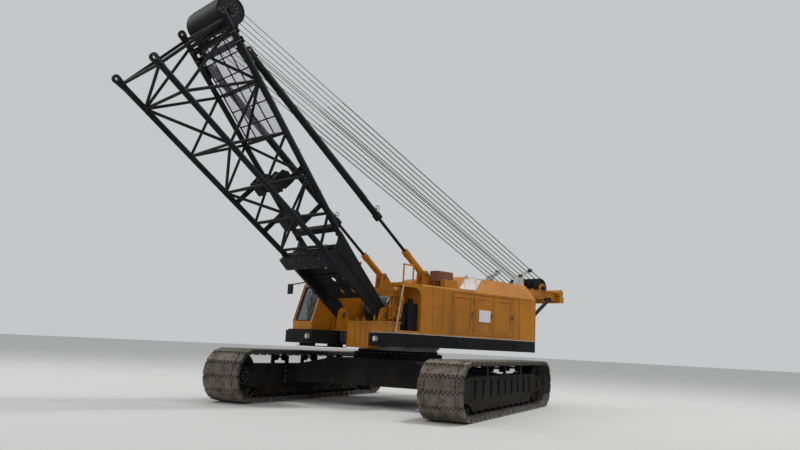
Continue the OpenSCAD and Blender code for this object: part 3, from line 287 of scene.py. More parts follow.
# Metals: colour, rust, roughness, metallic, share of rust, scale of its patches, dirt
STEELS = {
    "shoe_steel": ("shoes", (0.10, 0.06, 0.035), 0.62, 0.3, 0.38, 7.0, 0.5),
    # shoe_shade: darker steel that paints the shade under the shoes and in the gaps between them
    "shoe_shade": ((0.05, 0.046, 0.042), (0.05, 0.035, 0.025), 0.75, 0.2, 0.4, 12.0, 0.2),
    "track_link": ((0.12, 0.115, 0.11), (0.1, 0.07, 0.05), 0.4, 0.7, 0.3, 12.0, 0.1),
    "dark_steel": ((0.22, 0.22, 0.22), (0.16, 0.09, 0.05), 0.4, 0.85, 0.3, 16.0, 0.2),
    "rope_wire": ((0.12, 0.12, 0.12), (0.1, 0.07, 0.05), 0.45, 0.7, 0.3, 30.0, 0.0),
    "rusty_steel": ((0.28, 0.13, 0.08), (0.17, 0.07, 0.035), 0.75, 0.15, 0.8, 11.0, 0.1),
    # bare_plate: bare steel of the roof panel, pale partly to paint the sun's glint on it
    "bare_plate": ((0.74, 0.70, 0.68), (0.40, 0.20, 0.12), 0.35, 0.3, 0.4, 5.0, 0.05),
    "edge_strip": ((0.55, 0.54, 0.51), (0.3, 0.2, 0.13), 0.4, 0.6, 0.35, 14.0, 0.2),
    "mirror_glass": ((0.75, 0.77, 0.8), (0.5, 0.5, 0.5), 0.04, 1.0, 0.0, 5.0, 0.05),
    "mesh_wire": ((0.34, 0.32, 0.37), (0.2, 0.15, 0.13), 0.5, 0.5, 0.2, 20.0, 0.1),
    "lamp_lens": ((0.85, 0.85, 0.82), (0.8, 0.8, 0.75), 0.12, 0.3, 0.0, 5.0, 0.1),
}


def finish(slot):
    """The material of a finish, made once."""
    name = slot.replace("_", " ")
    found = bpy.data.materials.get(name)
    if found:
        return found
    look = bpy.context.scene.crane_look
    if slot == "clear_glass":
        return glass(name, tuple(look.glass))
    if slot in STEELS:
        colour, *rest = STEELS[slot]
        return steel(name, tuple(getattr(look, colour)) if isinstance(colour, str) else colour, *rest)
    values = dict(PAINTS[slot])
    if isinstance(values["colour"], str):
        values["colour"] = tuple(getattr(look, values["colour"]))
    return paint(name, tuple(look.dust), **values)


# Form tools

def across(axis):
    """An axis made one long, and two directions square to it and to each other."""
    axis = Vector(axis).normalized()
    u = axis.cross(Vector((0, 0, 1)) if abs(axis.z) < 0.9 else Vector((1, 0, 0))).normalized()
    return axis, u, axis.cross(u)


def circle(at, u, v, r, n):
    """Points of a circle about a point, in the plane of two directions."""
    turns = [2 * math.pi * i / n for i in range(n)]
    return [Vector(at) + u * (r * math.cos(t)) + v * (r * math.sin(t)) for t in turns]


class Shape:
    """Collects simple forms in one mesh, in metres.

    A form has the shape's own finish, or one that is given.
    """

    def __init__(self, slot="dark_steel", turn=None):
        self.verts = []
        self.faces = []
        self.marks = []
        self.slots = []
        self.slot = slot
        self.turn = turn or Matrix.Identity(4)

    def add(self, verts, faces, slot):
        """Adds vertices and faces in the shape's own place."""
        slot = slot or self.slot
        if slot not in self.slots:
            self.slots.append(slot)
        start = len(self.verts)
        self.verts.extend(self.turn @ Vector(v) for v in verts)
        self.faces.extend([start + i for i in face] for face in faces)
        self.marks.extend([self.slots.index(slot)] * len(faces))

    def rings(self, rows, slot, closed=False):
        """Skins rows of as many points each, and caps the ends or joins the last row to the first."""
        n = len(rows[0])
        count = len(rows) if closed else len(rows) - 1
        faces = []
        for k, i in product(range(count), range(n)):
            j, m = (i + 1) % n, (k + 1) % len(rows)
            faces.append([k * n + i, k * n + j, m * n + j, m * n + i])
        if not closed:
            faces.append(list(range(n))[::-1])
            faces.append([count * n + i for i in range(n)])
        self.add([p for row in rows for p in row], faces, slot)

    def box(self, lo, hi, cut=0.004, slot=None):
        """A block with chamfered edges, from two of its corners."""
        lo, hi = Vector(map(min, lo, hi)), Vector(map(max, lo, hi))
        cut = min(cut, min(hi - lo) * 0.45)
        corners = list(product((0, 1), repeat=3))
        keys = list(product(corners, range(3)))
        verts = []
        for c, axis in keys:
            point = [hi[i] - cut if c[i] else lo[i] + cut for i in range(3)]
            point[axis] = hi[axis] if c[axis] else lo[axis]
            verts.append(point)
        at = {key: i for i, key in enumerate(keys)}
        faces = []
        for axis in range(3):
            a, b = [i for i in range(3) if i != axis]
            corner = {}
            for end, i, j in corners:
                c = [end] * 3
                c[a], c[b] = i, j
                corner[end, i, j] = tuple(c)
            for end in (0, 1):
                faces.append([at[corner[end, i, j], axis] for i, j in ((0, 0), (1, 0), (1, 1), (0, 1))])
            for i, j in product((0, 1), repeat=2):
                p, q = corner[0, i, j], corner[1, i, j]
                faces.append([at[p, a], at[q, a], at[q, b], at[p, b]])
        faces.extend([at[c, 0], at[c, 1], at[c, 2]] for c in corners)
        self.add(verts, faces, slot)

    def block(self, at, half, cut=0.004, slot=None):
        """A block with chamfered edges, from its middle and its half sizes."""
        at, half = Vector(at), Vector(half)
        self.box(at - half, at + half, cut, slot)

    def lathe(self, at, axis, rows, n=16, slot=None, closed=False):
        """A turned form about an axis, from rows of distance along it and radius."""
        axis, u, v = across(axis)
        self.rings([circle(Vector(at) + axis * along, u, v, r, n) for along, r in rows], slot, closed)

    def rod(self, p, q, r, n=12, slot=None):
        """A straight round bar with slightly rounded ends."""
        p, q = Vector(p), Vector(q)
        long = (q - p).length
        c = min(0.003, r * 0.3)
        self.lathe(p, q - p, ((0, r - c), (c, r), (long - c, r), (long, r - c)), n, slot)

    def edge(self, points, r, n, slot=None):
        """Straight bars around a closed outline."""
        for p, q in zip(points, points[1:] + points[:1]):
            self.rod(p, q, r, n, slot)

    def tube(self, p, q, r, bore, n=8, slot=None):
        """A straight tube, open at both ends."""
        long = (q - p).length
        self.lathe(p, q - p, ((0, bore), (0, r), (long, r), (long, bore)), n, slot, True)

    def bolt(self, at, axis, r, slot="dark_steel"):
        """A hex head on a washer."""
        self.lathe(at, axis, ((0, r * 1.25), (r * 0.22, r * 1.25)), 12, slot)
        base = Vector(at) + Vector(axis).normalized() * (r * 0.22)
        self.lathe(base, axis, ((0, r), (r * 0.62, r), (r * 0.75, r * 0.82)), 6, slot)

    def bolts(self, at, axis, reach, count, r, slot="dark_steel"):
        """A ring of bolts about an axis."""
        for p in circle(at, *across(axis)[1:], reach, count):
            self.bolt(p, axis, r, slot)

    def torus(self, at, axis, reach, r, n=32, m=8, slot=None):
        """A closed ring of round section."""
        turns = [2 * math.pi * i / m for i in range(m)]
        self.lathe(at, axis, [(r * math.sin(t), reach + r * math.cos(t)) for t in turns], n, slot, True)

    def pipe(self, points, r, n=10, steps=6, slot=None):
        """A bent pipe or hose through points, smooth between them."""
        pts = [Vector(p) for p in points]
        path = []
        for i in range(len(pts) - 1):
            a, b = pts[max(i - 1, 0)], pts[i]
            c, d = pts[i + 1], pts[min(i + 2, len(pts) - 1)]
            for k in range(steps + (i == len(pts) - 2)):
                t = k / steps
                path.append(0.5 * ((2 * b) + (c - a) * t + (2 * a - 5 * b + 4 * c - d) * t * t
                                   + (3 * b - a - 3 * c + d) * t ** 3))
        rows = []
        u = None
        for i, p in enumerate(path):
            way = (path[min(i + 1, len(path) - 1)] - path[max(i - 1, 0)]).normalized()
            u = across(way)[1] if u is None else (u - way * u.dot(way)).normalized()
            rows.append(circle(p, u, way.cross(u), r, n))
        self.rings(rows, slot)

    def slab(self, outline, origin, u, v, thick, slot=None):
        """A flat outline given in two directions from an origin, with a thickness along their normal."""
        origin, u, v = Vector(origin), Vector(u).normalized(), Vector(v).normalized()
        w = u.cross(v) * thick
        n = len(outline)
        verts = [origin + u * a + v * b for a, b in outline]
        verts += [p + w for p in verts]
        faces = [list(range(n))[::-1], list(range(n, 2 * n))]
        faces += [[i, (i + 1) % n, n + (i + 1) % n, n + i] for i in range(n)]
        self.add(verts, faces, slot)

    def strip(self, start, end, low, high, *rest):
        """A slab with a plain rectangle as its outline."""
        self.slab(((start, low), (end, low), (end, high), (start, high)), *rest)

    def done(self, name, body, *nodes):
        """Makes the piece, lets it ride its body and replace its solids."""
        mesh = bpy.data.meshes.new(name)
        mesh.from_pydata([tuple(v) for v in self.verts], [], self.faces)
        for slot in self.slots:
            mesh.materials.append(finish(slot))
        mesh.polygons.foreach_set("material_index", self.marks)
        form = bmesh.new()
        form.from_mesh(mesh)
        bmesh.ops.recalc_face_normals(form, faces=form.faces)
        form.to_mesh(mesh)
        form.free()
        mesh.shade_smooth()
        mesh.set_sharp_from_angle(angle=math.radians(32))
        piece = bpy.data.objects.new(name, mesh)
        bpy.context.scene.collection.objects.link(piece)
        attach(piece, body)
        if nodes:
            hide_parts(*nodes)
        return piece


# Cushions

def bake(piece):
    """Applies a piece's modifiers to its mesh."""
    shaped = piece.evaluated_get(bpy.context.evaluated_depsgraph_get())
    mesh = bpy.data.meshes.new_from_object(shaped)
    old = piece.data
    piece.modifiers.clear()
    piece.data = mesh
    mesh.name = old.name
    bpy.data.meshes.remove(old)


def puff(piece, cap):
    """Swells a closed form as cloth under a little air, no point going further than the cap."""
    frames = 20
    start = [v.co.copy() for v in piece.data.vertices]
    cloth = piece.modifiers.new("puff", "CLOTH")
    cloth.settings.use_pressure = True
    cloth.settings.uniform_pressure_force = 4.0
    cloth.settings.effector_weights.gravity = 0.0
    cloth.point_cache.frame_start = 1
    cloth.point_cache.frame_end = frames
    scene = bpy.context.scene
    for number in range(1, frames + 1):
        scene.frame_set(number)
    shaped = piece.evaluated_get(bpy.context.evaluated_depsgraph_get()).to_mesh()
    ends = [v.co.copy() for v in shaped.vertices]
    piece.modifiers.clear()
    scene.frame_set(1)
    for v, a, b in zip(piece.data.vertices, start, ends):
        move = b - a
        if move.length > cap:
            move *= cap / move.length
        v.co = a + move


def cushion(name, lo, hi, up, channels):
    """A sewn cushion that rests on its low side along the up axis, puffed, with channels and a piped edge."""
    lo, hi = Vector(lo), Vector(hi)
    wide = 1
    along = 2 if up == 0 else 0
    inner = Vector([0.012 if i != up else 0.004 for i in range(3)])
    start = Shape("seat_cloth")
    start.box(lo + inner, hi - inner, 0.022)
    piece = start.done(name, "upper_works")
    remesh = piece.modifiers.new("even", "REMESH")
    remesh.mode = "VOXEL"
    remesh.voxel_size = 0.010
    bake(piece)
    puff(piece, 0.014)
    middle, half = (lo + hi) / 2, (hi - lo) / 2
    for v in piece.data.vertices:
        co = v.co.copy()
        rise = (co[up] - lo[up]) / (hi[up] - lo[up])
        # Crown of the free side, sides pulled in between the corners, sewn channels across
        a = (co[wide] - middle[wide]) / half[wide]
        b = (co[along] - middle[along]) / half[along]
        crown = max(0.0, 1 - a * a) * max(0.0, 1 - b * b)
        co[up] += 0.012 * crown * max(0.0, rise)
        co[wide] -= 0.010 * a * max(0.0, 1 - b * b)
        co[along] -= 0.010 * b * max(0.0, 1 - a * a)
        for at in channels:
            near = (co[along] - at) / 0.011
            co[up] -= 0.011 * math.exp(-near * near) * max(0.0, rise) * max(0.0, 1 - a ** 6)
        co[up] = min(max(co[up], lo[up]), hi[up] + 0.012)
        v.co = co
    smooth = piece.modifiers.new("finer", "SUBSURF")
    smooth.levels = smooth.render_levels = 1
    bake(piece)
    # Piping follows the widest line of the sides
    level = lo[up] + 0.62 * (hi[up] - lo[up])
    rim = [v.co for v in piece.data.vertices if abs(v.co[up] - level) < 0.007]
    points = []
    for k in range(48):
        t = 2 * math.pi * k / 48
        p = max(rim, key=lambda c: (c[along] - middle[along]) / half[along] * math.cos(t)
                + (c[wide] - middle[wide]) / half[wide] * math.sin(t)).copy()
        p[up] = level
        if not points or (p - points[-1]).length > 0.012:
            points.append(p)
    points.append(points[0].copy())
    piping = Shape("rubber")
    piping.pipe(points, 0.0045, 8, 4)
    piping.done(name + "_piping", "upper_works")
    for polygon in piece.data.polygons:
        polygon.use_smooth = True


# Places shared with the solids, in metres

SIDES = (-1, 1)
TURN = Matrix.Rotation(math.radians(23), 4, "Z")
SHOES = 54
TRACK_LENGTH, TRACK_HEIGHT, SHOE_WIDTH, GAUGE = 8.1, 1.3, 1.0, 5.54
PAD, LINK = 0.045, 0.06
RUN, AXLE_Z = (TRACK_LENGTH - TRACK_HEIGHT) / 2, TRACK_HEIGHT / 2
PLATE_Y = 0.2405
BEAM_X = 1.35
WALL = 1.6
FOOT = Vector((1.38, 0.0, 2.31))
FOOT_Y = 0.83
RISE = math.tan(math.radians(7.3))
SPLAY = (0.95 - FOOT_Y) / (8.05 - 2.35)
TILT = Matrix.Rotation(math.radians(-7.3), 4, "Y")
BOOM = Matrix.Translation(FOOT) @ Matrix.Rotation(math.radians(-43), 4, "Y")
HEAD_S, HEAD_D = 7.95, 1.4
HEAD = BOOM @ Vector((HEAD_S, 0.0, HEAD_D))
GANTRY = Vector((-5.6, 0.0, 3.57))
SHEAVE_Y = [(i - 2.5) * 0.2 for i in range(6)]
SHEAVE_R = 0.3
STOP_TOP = BOOM @ Vector((7.05, 0.0, 1.08))
STOP_EYE = Vector((0.0, 0.0, 3.45))
DOORS = ((-0.38, -1.20), (-1.23, -1.99), (-2.02, -2.90))
DRUMS = {"front_winch": 0.52, "rear_winch": -0.76, "boom_hoist_winch": -2.05}
DRUM_Z = 2.54


def chord_y(s):
    """Distance of a chord from the centre plane, at a distance s along the boom."""
    return FOOT_Y + max(0.0, s - 2.35) * SPLAY


def loop_point(s):
    """Point of the track's loop, under its shoes, at a distance along it."""
    r = AXLE_Z - PAD
    a, b = 2 * RUN, math.pi * r
    s %= 2 * a + 2 * b
    if s < a:
        return -RUN + s, AXLE_Z - r
    if s < a + b:
        t = -math.pi / 2 + (s - a) / r
        return RUN + r * math.cos(t), AXLE_Z + r * math.sin(t)
    if s < 2 * a + b:
        return RUN - (s - a - b), AXLE_Z + r
    t = math.pi / 2 + (s - 2 * a - b) / r
    return -RUN + r * math.cos(t), AXLE_Z + r * math.sin(t)


def track_piece(name, side):
    """One track with its shoes, links and drive lugs."""
    pitch = (4 * RUN + 2 * math.pi * (AXLE_Z - PAD)) / SHOES
    w = SHOE_WIDTH / 2
    top = PAD - 0.005
    shape = Shape("shoe_steel")
    for k in range(SHOES):
        p = loop_point(k * pitch + 0.008)
        q = loop_point((k + 1) * pitch - 0.008)
        mid = Vector(((p[0] + q[0]) / 2, side * GAUGE / 2, (p[1] + q[1]) / 2))
        way = Vector((q[0] - p[0], 0, q[1] - p[1]))
        h = way.length / 2
        way.normalize()
        axes = Matrix((way, (0, 1, 0), (way.z, 0, -way.x)))
        shape.turn = TURN @ Matrix.Translation(mid) @ axes.transposed().to_4x4()
        # Dark strip under the pads: darker steel that paints the shade in the gaps between shoes and teeth
        shape.box((-h - 0.01, -w + 0.015, -0.02), (h + 0.01, w - 0.015, 0.012), 0.004, "shoe_shade")
        # The pad in three parts, and teeth that interlock with the next shoe
        shape.box((-h + 0.03, -0.335, 0.004), (h - 0.03, 0.335, PAD - 0.0005), 0.007)
        for end in SIDES:
            shape.box((-h + 0.03, end * 0.343, 0.002), (h - 0.03, end * w, PAD - 0.008), 0.012)
        for i in range(10):
            y = -0.45 + 0.1 * i
            shape.box((h - 0.034, y - 0.027, 0.002), (h + 0.014, y + 0.027, top), 0.007)
            if i < 9:
                shape.box((-h - 0.014, y + 0.026, 0.002), (-h + 0.034, y + 0.074, top), 0.007)
        # Ribs, links and drive lug under the shoe, and its pin; ribs and pin darkened as painted shade
        for y in (-w + 0.02, -0.33, 0.33, w - 0.02):
            shape.box((-h * 0.86, y - 0.018, -LINK), (h * 0.86, y + 0.018, 0.002), 0.006, "shoe_shade")
        for y in (-0.135, 0.135):
            shape.box((-h - 0.006, y - 0.052, -LINK), (h + 0.006, y + 0.052, 0.002), 0.008, "track_link")
        shape.block((0, 0, -LINK - 0.0215), (0.2 * pitch, 0.07, 0.0335), 0.018, "track_link")
        shape.lathe((-h, -0.2, -LINK / 2), (0, 1, 0), ((0, 0.022), (0.4, 0.022)), 8, "shoe_shade")
    shape.done(name, "undercarriage", "track_left" if side > 0 else "track_right")


class CRANE_OT_tracks(bpy.types.Operator):
    """Builds both tracks shoe by shoe"""
    bl_idname = "crane.tracks"
    bl_label = "Tracks"

    def execute(self, context):
        track_piece("left_track", 1)
        track_piece("right_track", -1)
        return {"FINISHED"}


class CRANE_OT_undercarriage(bpy.types.Operator):
    """Adds bolts, caps, guards and hoses to the undercarriage"""
    bl_idname = "crane.undercarriage"
    bl_label = "Undercarriage fittings"

    def execute(self, context):
        shape = Shape("undercarriage_paint", TURN)
        for s in SIDES:
            y = s * GAUGE / 2
            for x, k in product((-RUN, RUN), SIDES):
                shape.bolts((x, y + k * 0.2803, AXLE_Z), (0, k, 0), 0.115, 8, 0.014)
                shape.bolts((x, y + k * PLATE_Y, AXLE_Z), (0, k, 0), 0.185, 12, 0.012)
            shape.bolts((-RUN, y - s * 0.4703, AXLE_Z), (0, -s, 0), 0.26, 16, 0.016)
            shape.bolts((-RUN, y - s * 0.7103, AXLE_Z), (0, -s, 0), 0.115, 8, 0.012)
            # Stiffeners, rails and roller caps on the outer and inner plates
            for k in SIDES:
                face = y + k * PLATE_Y
                for i in range(9):
                    shape.block((-2.4 + i * 0.6, face + k * 0.0125, 0.66), (0.012, 0.0175, 0.2), 0.003)
                shape.block((0, face, 0.8725), (2.7, 0.012, 0.0125))
                shape.block((0, face, 0.435), (2.7, 0.012, 0.015))
                for i in range(1, 10):
                    x = -2.665 + i * 0.533
                    cap = ((-0.004, 0.055), (0.012, 0.055), (0.018, 0.045))
                    shape.lathe((x, face, 0.2353), (0, k, 0), cap, 20)
                    for a in (-0.08, 0.08):
                        shape.bolt((x + a, face, 0.2353), (0, k, 0), 0.013)
            # Bolts of the cross beams on the side frames
            for x, i, j in product((-BEAM_X, BEAM_X), (-0.31, 0.31), range(4)):
                shape.bolt((x + i, y - s * 0.3, 0.5 + j * 0.12), (0, -s, 0), 0.024)
        # Hoses from the middle to the drives, and their covers
        for s in SIDES:
            for k in range(3):
                w = k * 0.06
                shape.pipe(((-0.95, s * (0.9 + w), 1.2), (-1.2, s * (1.15 + w), 1.2),
                            (-1.4 - k * 0.05, s * 1.55, 1.12), (-1.75, s * 2.0, 0.9),
                            (-2.6, s * 2.12, 0.74), (-3.28, s * 2.08, 0.7)), 0.016, 8, slot="hose")
            shape.block((-BEAM_X, s * 1.25, 1.145), (0.27, 0.16, 0.055), 0.01)
        # Bands round the cross beams
        for x, s in product((-BEAM_X, BEAM_X), SIDES):
            shape.block((x, s * 1.3, 0.875), (0.287, 0.012, 0.275))
            for y in (1.62, 2.0):
                shape.block((x, s * y, 0.7), (0.285, 0.01, 0.2), 0.003)
        shape.done("undercarriage_fittings", "undercarriage")
        ring = Shape("rubber", TURN)
        ring.bolts((0, 0, 1.34), (0, 0, 1), 1.14, 48, 0.017)
        ring.torus((0, 0, 1.345), (0, 0, 1), 1.095, 0.014, 96, 6)
        ring.done("ring_bolts_lower", "undercarriage")
        upper = Shape()
        upper.bolts((0, 0, 1.4897), (0, 0, -1), 1.095, 48, 0.013)
        upper.done("ring_bolts_upper", "upper_works")
        return {"FINISHED"}


class CRANE_OT_deck(bpy.types.Operator):
    """Adds edge strips, lamp rims, treads, hoses and rings to the deck and the front frame"""
    bl_idname = "crane.deck"
    bl_label = "Deck fittings"

    def execute(self, context):
        shape = Shape("black_paint")
        # Pale strips along the top edges of the deck
        shape.box((-3.94, 1.597, 1.837), (1.59, 1.607, 1.8565), 0.003, "edge_strip")
        shape.box((-3.94, -1.607, 1.837), (0.44, -1.597, 1.8565), 0.003, "edge_strip")
        shape.box((1.597, 0.66, 1.837), (1.607, WALL, 1.8565), 0.003, "edge_strip")
        # Seams and lashing rings of the side sills
        for s in SIDES:
            for x in (-3.4, -2.6, -1.8, -1.0, -0.2, 0.5):
                shape.block((x, s * WALL, 1.69), (0.006, 0.004, 0.13), 0.002)
            for x in (-3.0, -0.6):
                shape.torus((x, s * WALL, 1.7), (1, 0, 0), 0.045, 0.011, 20)
                shape.block((x, s * WALL, 1.755), (0.05, 0.008, 0.035))
        # Lamp rims and ribbed lenses
        for x, y, z in ((1.6605, 0.9, 1.69), (2.4605, -0.86, 1.68)):
            shape.torus((x, y, z), (1, 0, 0), 0.073, 0.009)
            for k in range(-2, 3):
                a = y + k * 0.022
                h = math.sqrt(0.06 ** 2 - (a - y) ** 2)
                shape.rod((x + 0.001, a, z - h), (x + 0.001, a, z + h), 0.003, 6, "lamp_lens")
        # Tread bars of the step plate under the cab
        for k in range(7):
            x = 1.32 + k * 0.13
            shape.rod((x, -1.45, 1.4365), (x, -0.72, 1.4365), 0.005, 6, "dark_steel")
        # Bolts, rail and lifting lugs of the yellow front frame
        for y, j in product((-0.2, 0.54), range(6)):
            shape.bolt((WALL, y, 1.56 + j * 0.1), (1, 0, 0), 0.013, "yellow_paint")
        shape.box((WALL, -0.24, 1.66), (1.612, 0.58, 1.675), 0.003, "yellow_paint")
        for y in (0.1, 0.36):
            shape.torus((1.56, y, 2.155), (0, 1, 0), 0.04, 0.012, 20, slot="yellow_paint")
        # Caps and keeper plates of the boom's foot pins
        for s, k in product(SIDES, SIDES):
            at = s * FOOT_Y + k * 0.143
            shape.lathe((1.38, at, 2.31), (0, k, 0), ((-0.002, 0.05), (0.006, 0.05)), 24, "dark_steel")
            face = s * FOOT_Y + k * 0.113
            shape.box((1.32, face - k * 0.002, 2.225), (1.44, face + k * 0.014, 2.256), 0.003, "dark_steel")
            for x in (1.335, 1.425):
                shape.bolt((x, face + k * 0.014, 2.24), (0, k, 0), 0.01)
        # Hoses of the front frame and of the pipe rack
        for k in range(5):
            y = -0.29 - k * 0.066
            x = 1.545 + 0.012 * (k % 2)
            shape.pipe(((1.44, y, 1.875), (x, y, 1.86), (x + 0.012, y - 0.012, 1.72), (x, y + 0.01, 1.58),
                        (1.45, y, 1.515)), 0.014, 8, 5, "worn_hose")
        for x in (1.08, 1.15, 1.22):
            bend = ((x + 0.07, 1.36, 1.86), (x + 0.08, 1.4, 2.15), (x + 0.05, 1.34, 2.38), (x, 1.24, 2.4153))
            shape.pipe(bend, 0.014, 8, 5, "hose")
        shape.done("deck_fittings", "upper_works")
        return {"FINISHED"}


class CRANE_OT_house(bpy.types.Operator):
    """Adds seams, drip rails, lifting eyes, a blank plate and vents to the two houses"""
    bl_idname = "crane.house"
    bl_label = "House fittings"

    def execute(self, context):
        shape = Shape("yellow_paint")
        for s in SIDES:
            shape.box((-3.94, s * WALL - 0.006, 3.035), (-0.6, s * WALL + 0.006, 3.062), 0.003)
            # Seams between the wall panels
            y = s * WALL
            for x in (-3.18, -3.93, -0.02, 0.34):
                shape.box((x - 0.004, y - 0.004, 1.9), (x + 0.004, y + 0.003, 3.03), 0.001, "seam")
            for x, j in product((-3.88, -3.23), range(5)):
                shape.bolt((x, s * WALL, 1.98 + j * 0.24), (0, s, 0), 0.009, "yellow_paint")
            # Lifting eyes on the crown
            for x in (-3.6, -1.6):
                shape.torus((x, s * 0.95, 3.53), (0, 1, 0), 0.04, 0.011, 20, slot="dark_steel")
                shape.box((x - 0.05, s * 0.95 - 0.03, 3.4995), (x + 0.05, s * 0.95 + 0.03, 3.508), 0.002)
            # Roof hatch on the crown
            shape.box((-3.1, s * 0.92 - 0.18, 3.499), (-2.3, s * 0.92 + 0.18, 3.522), 0.008)
            for x in (-3.0, -2.4):
                shape.rod((x, s * 0.92 - 0.05, 3.53), (x, s * 0.92 + 0.05, 3.53), 0.008, 8, "dark_steel")
            # Louvres in the rear wall
            for k in range(9):
                at = (-3.966, s * 1.12, 2.1 + k * 0.09)
                shape.strip(-0.35, 0.35, 0, 0.05, at, (0, 1, 0), (0.33, 0, 0.94), 0.004)
        # Light frame and bolts of the bare panel on the roof slope; its pale steel also paints the sun's
        # glint
        roof = Matrix.Translation((0, WALL, 3.06)) @ Matrix.Rotation(math.atan2(0.44, -0.42), 4, "X")
        corners = ((-0.66, 0.06), (-1.31, 0.06), (-1.9465, 0.57), (-1.2965, 0.57))
        shape.edge([roof @ Vector((*c, -0.012)) for c in corners], 0.011, 8, "edge_strip")
        for c in corners:
            shape.bolt(roof @ Vector((*c, -0.02)), roof.to_3x3() @ Vector((0, 0, -1)), 0.012, "edge_strip")
        # Bolts, outlet rim and feet of the rusty cowl
        for x, z in product((-0.64, -0.36, -0.08), (3.28, 3.52)):
            shape.bolt((x, 1.33, z), (0, 1, 0), 0.009, "rusty_steel")
        shape.torus((-0.1, 1.185, 3.38), (1, 0, 0), 0.088, 0.01, 24, slot="rusty_steel")
        for x in (-0.52, -0.2):
            shape.rod((x, 1.42, 3.312), (x, 1.5, 3.312), 0.012, 8, "dark_steel")
        # Edge strip of the entry, tread bars of its floor and grab rail
        shape.pipe(((1.595, 1.603, 1.87), (1.541, 1.603, 2.2), (1.482, 1.603, 2.55), (1.402, 1.603, 3.03)),
                   0.015, 8, 5, "edge_strip")
        for k in range(4):
            x = 1.14 + k * 0.055
            shape.rod((x, 1.53, 1.858), (x, 1.28, 1.858), 0.005, 6, "dark_steel")
        shape.pipe(((1.5, 1.598, 2.2), (1.495, 1.645, 2.24), (1.425, 1.645, 2.68), (1.42, 1.598, 2.72)),
                   0.012, 8, 4)
        # Thin upright mouldings beside the doors, and the rail over them
        for x in (-0.355, -1.215, -2.005, -2.935, -3.16):
            shape.box((x - 0.007, 1.597, 1.9), (x + 0.007, 1.606, 3.02), 0.003)
        shape.box((-3.18, 1.597, 3.0), (-0.34, 1.61, 3.014))
        shape.done("house_fittings", "upper_works")
        for (side, s), (i, (x0, x1)) in product((("left", 1), ("right", -1)), enumerate(DOORS, 1)):
            house_door("%s_door_%d" % (side, i), s, x0, x1)
        return {"FINISHED"}


def house_door(body, s, x0, x1):
    """Latch with its handle, screws of the hinge straps and a stiffening rim on one door."""
    door = Shape()
    y = s * WALL
    mid = x1 + 0.06
    door.box((x1 + 0.022, y - s * 0.001, 2.385), (x1 + 0.098, y + s * 0.006, 2.53), 0.002)
    door.lathe((mid, y + s * 0.018, 2.4525), (0, s, 0), ((0, 0.02), (0.012, 0.02), (0.016, 0.014)))
    door.box((mid - 0.008, y + s * 0.024, 2.41), (mid + 0.008, y + s * 0.038, 2.52), 0.004, "rubber")
    for z, j, x in product((2.035, 2.79), (0.02, 0.06), (0.014, 0.036)):
        door.bolt((x0 - x, y + s * 0.006, z + j), (0, s, 0), 0.005)
    inner, outer = y - s * 0.001, y + s * 0.003
    for x in (x1 + 0.118, x0 - 0.118):
        door.box((x - 0.003, inner, 2.04), (x + 0.003, outer, 2.87), 0.001, "seam")
    for z in (2.037, 2.872):
        door.box((x1 + 0.118, inner, z - 0.003), (x0 - 0.118, outer, z + 0.003), 0.001, "seam")
    if body == "left_door_2":
        door.box((-1.91, y - 0.001, 2.28), (-1.44, y + 0.0115, 2.6), 0.002, "white_plate")
    door.done(body + "_fittings", body)


def screen(y, z, out=0.0):
    """A point on the sloped windscreen, moved out by a distance."""
    return Vector((2.2 - (z - 2.055) * 0.33 / 1.0547 + 0.004 + out, y, z))


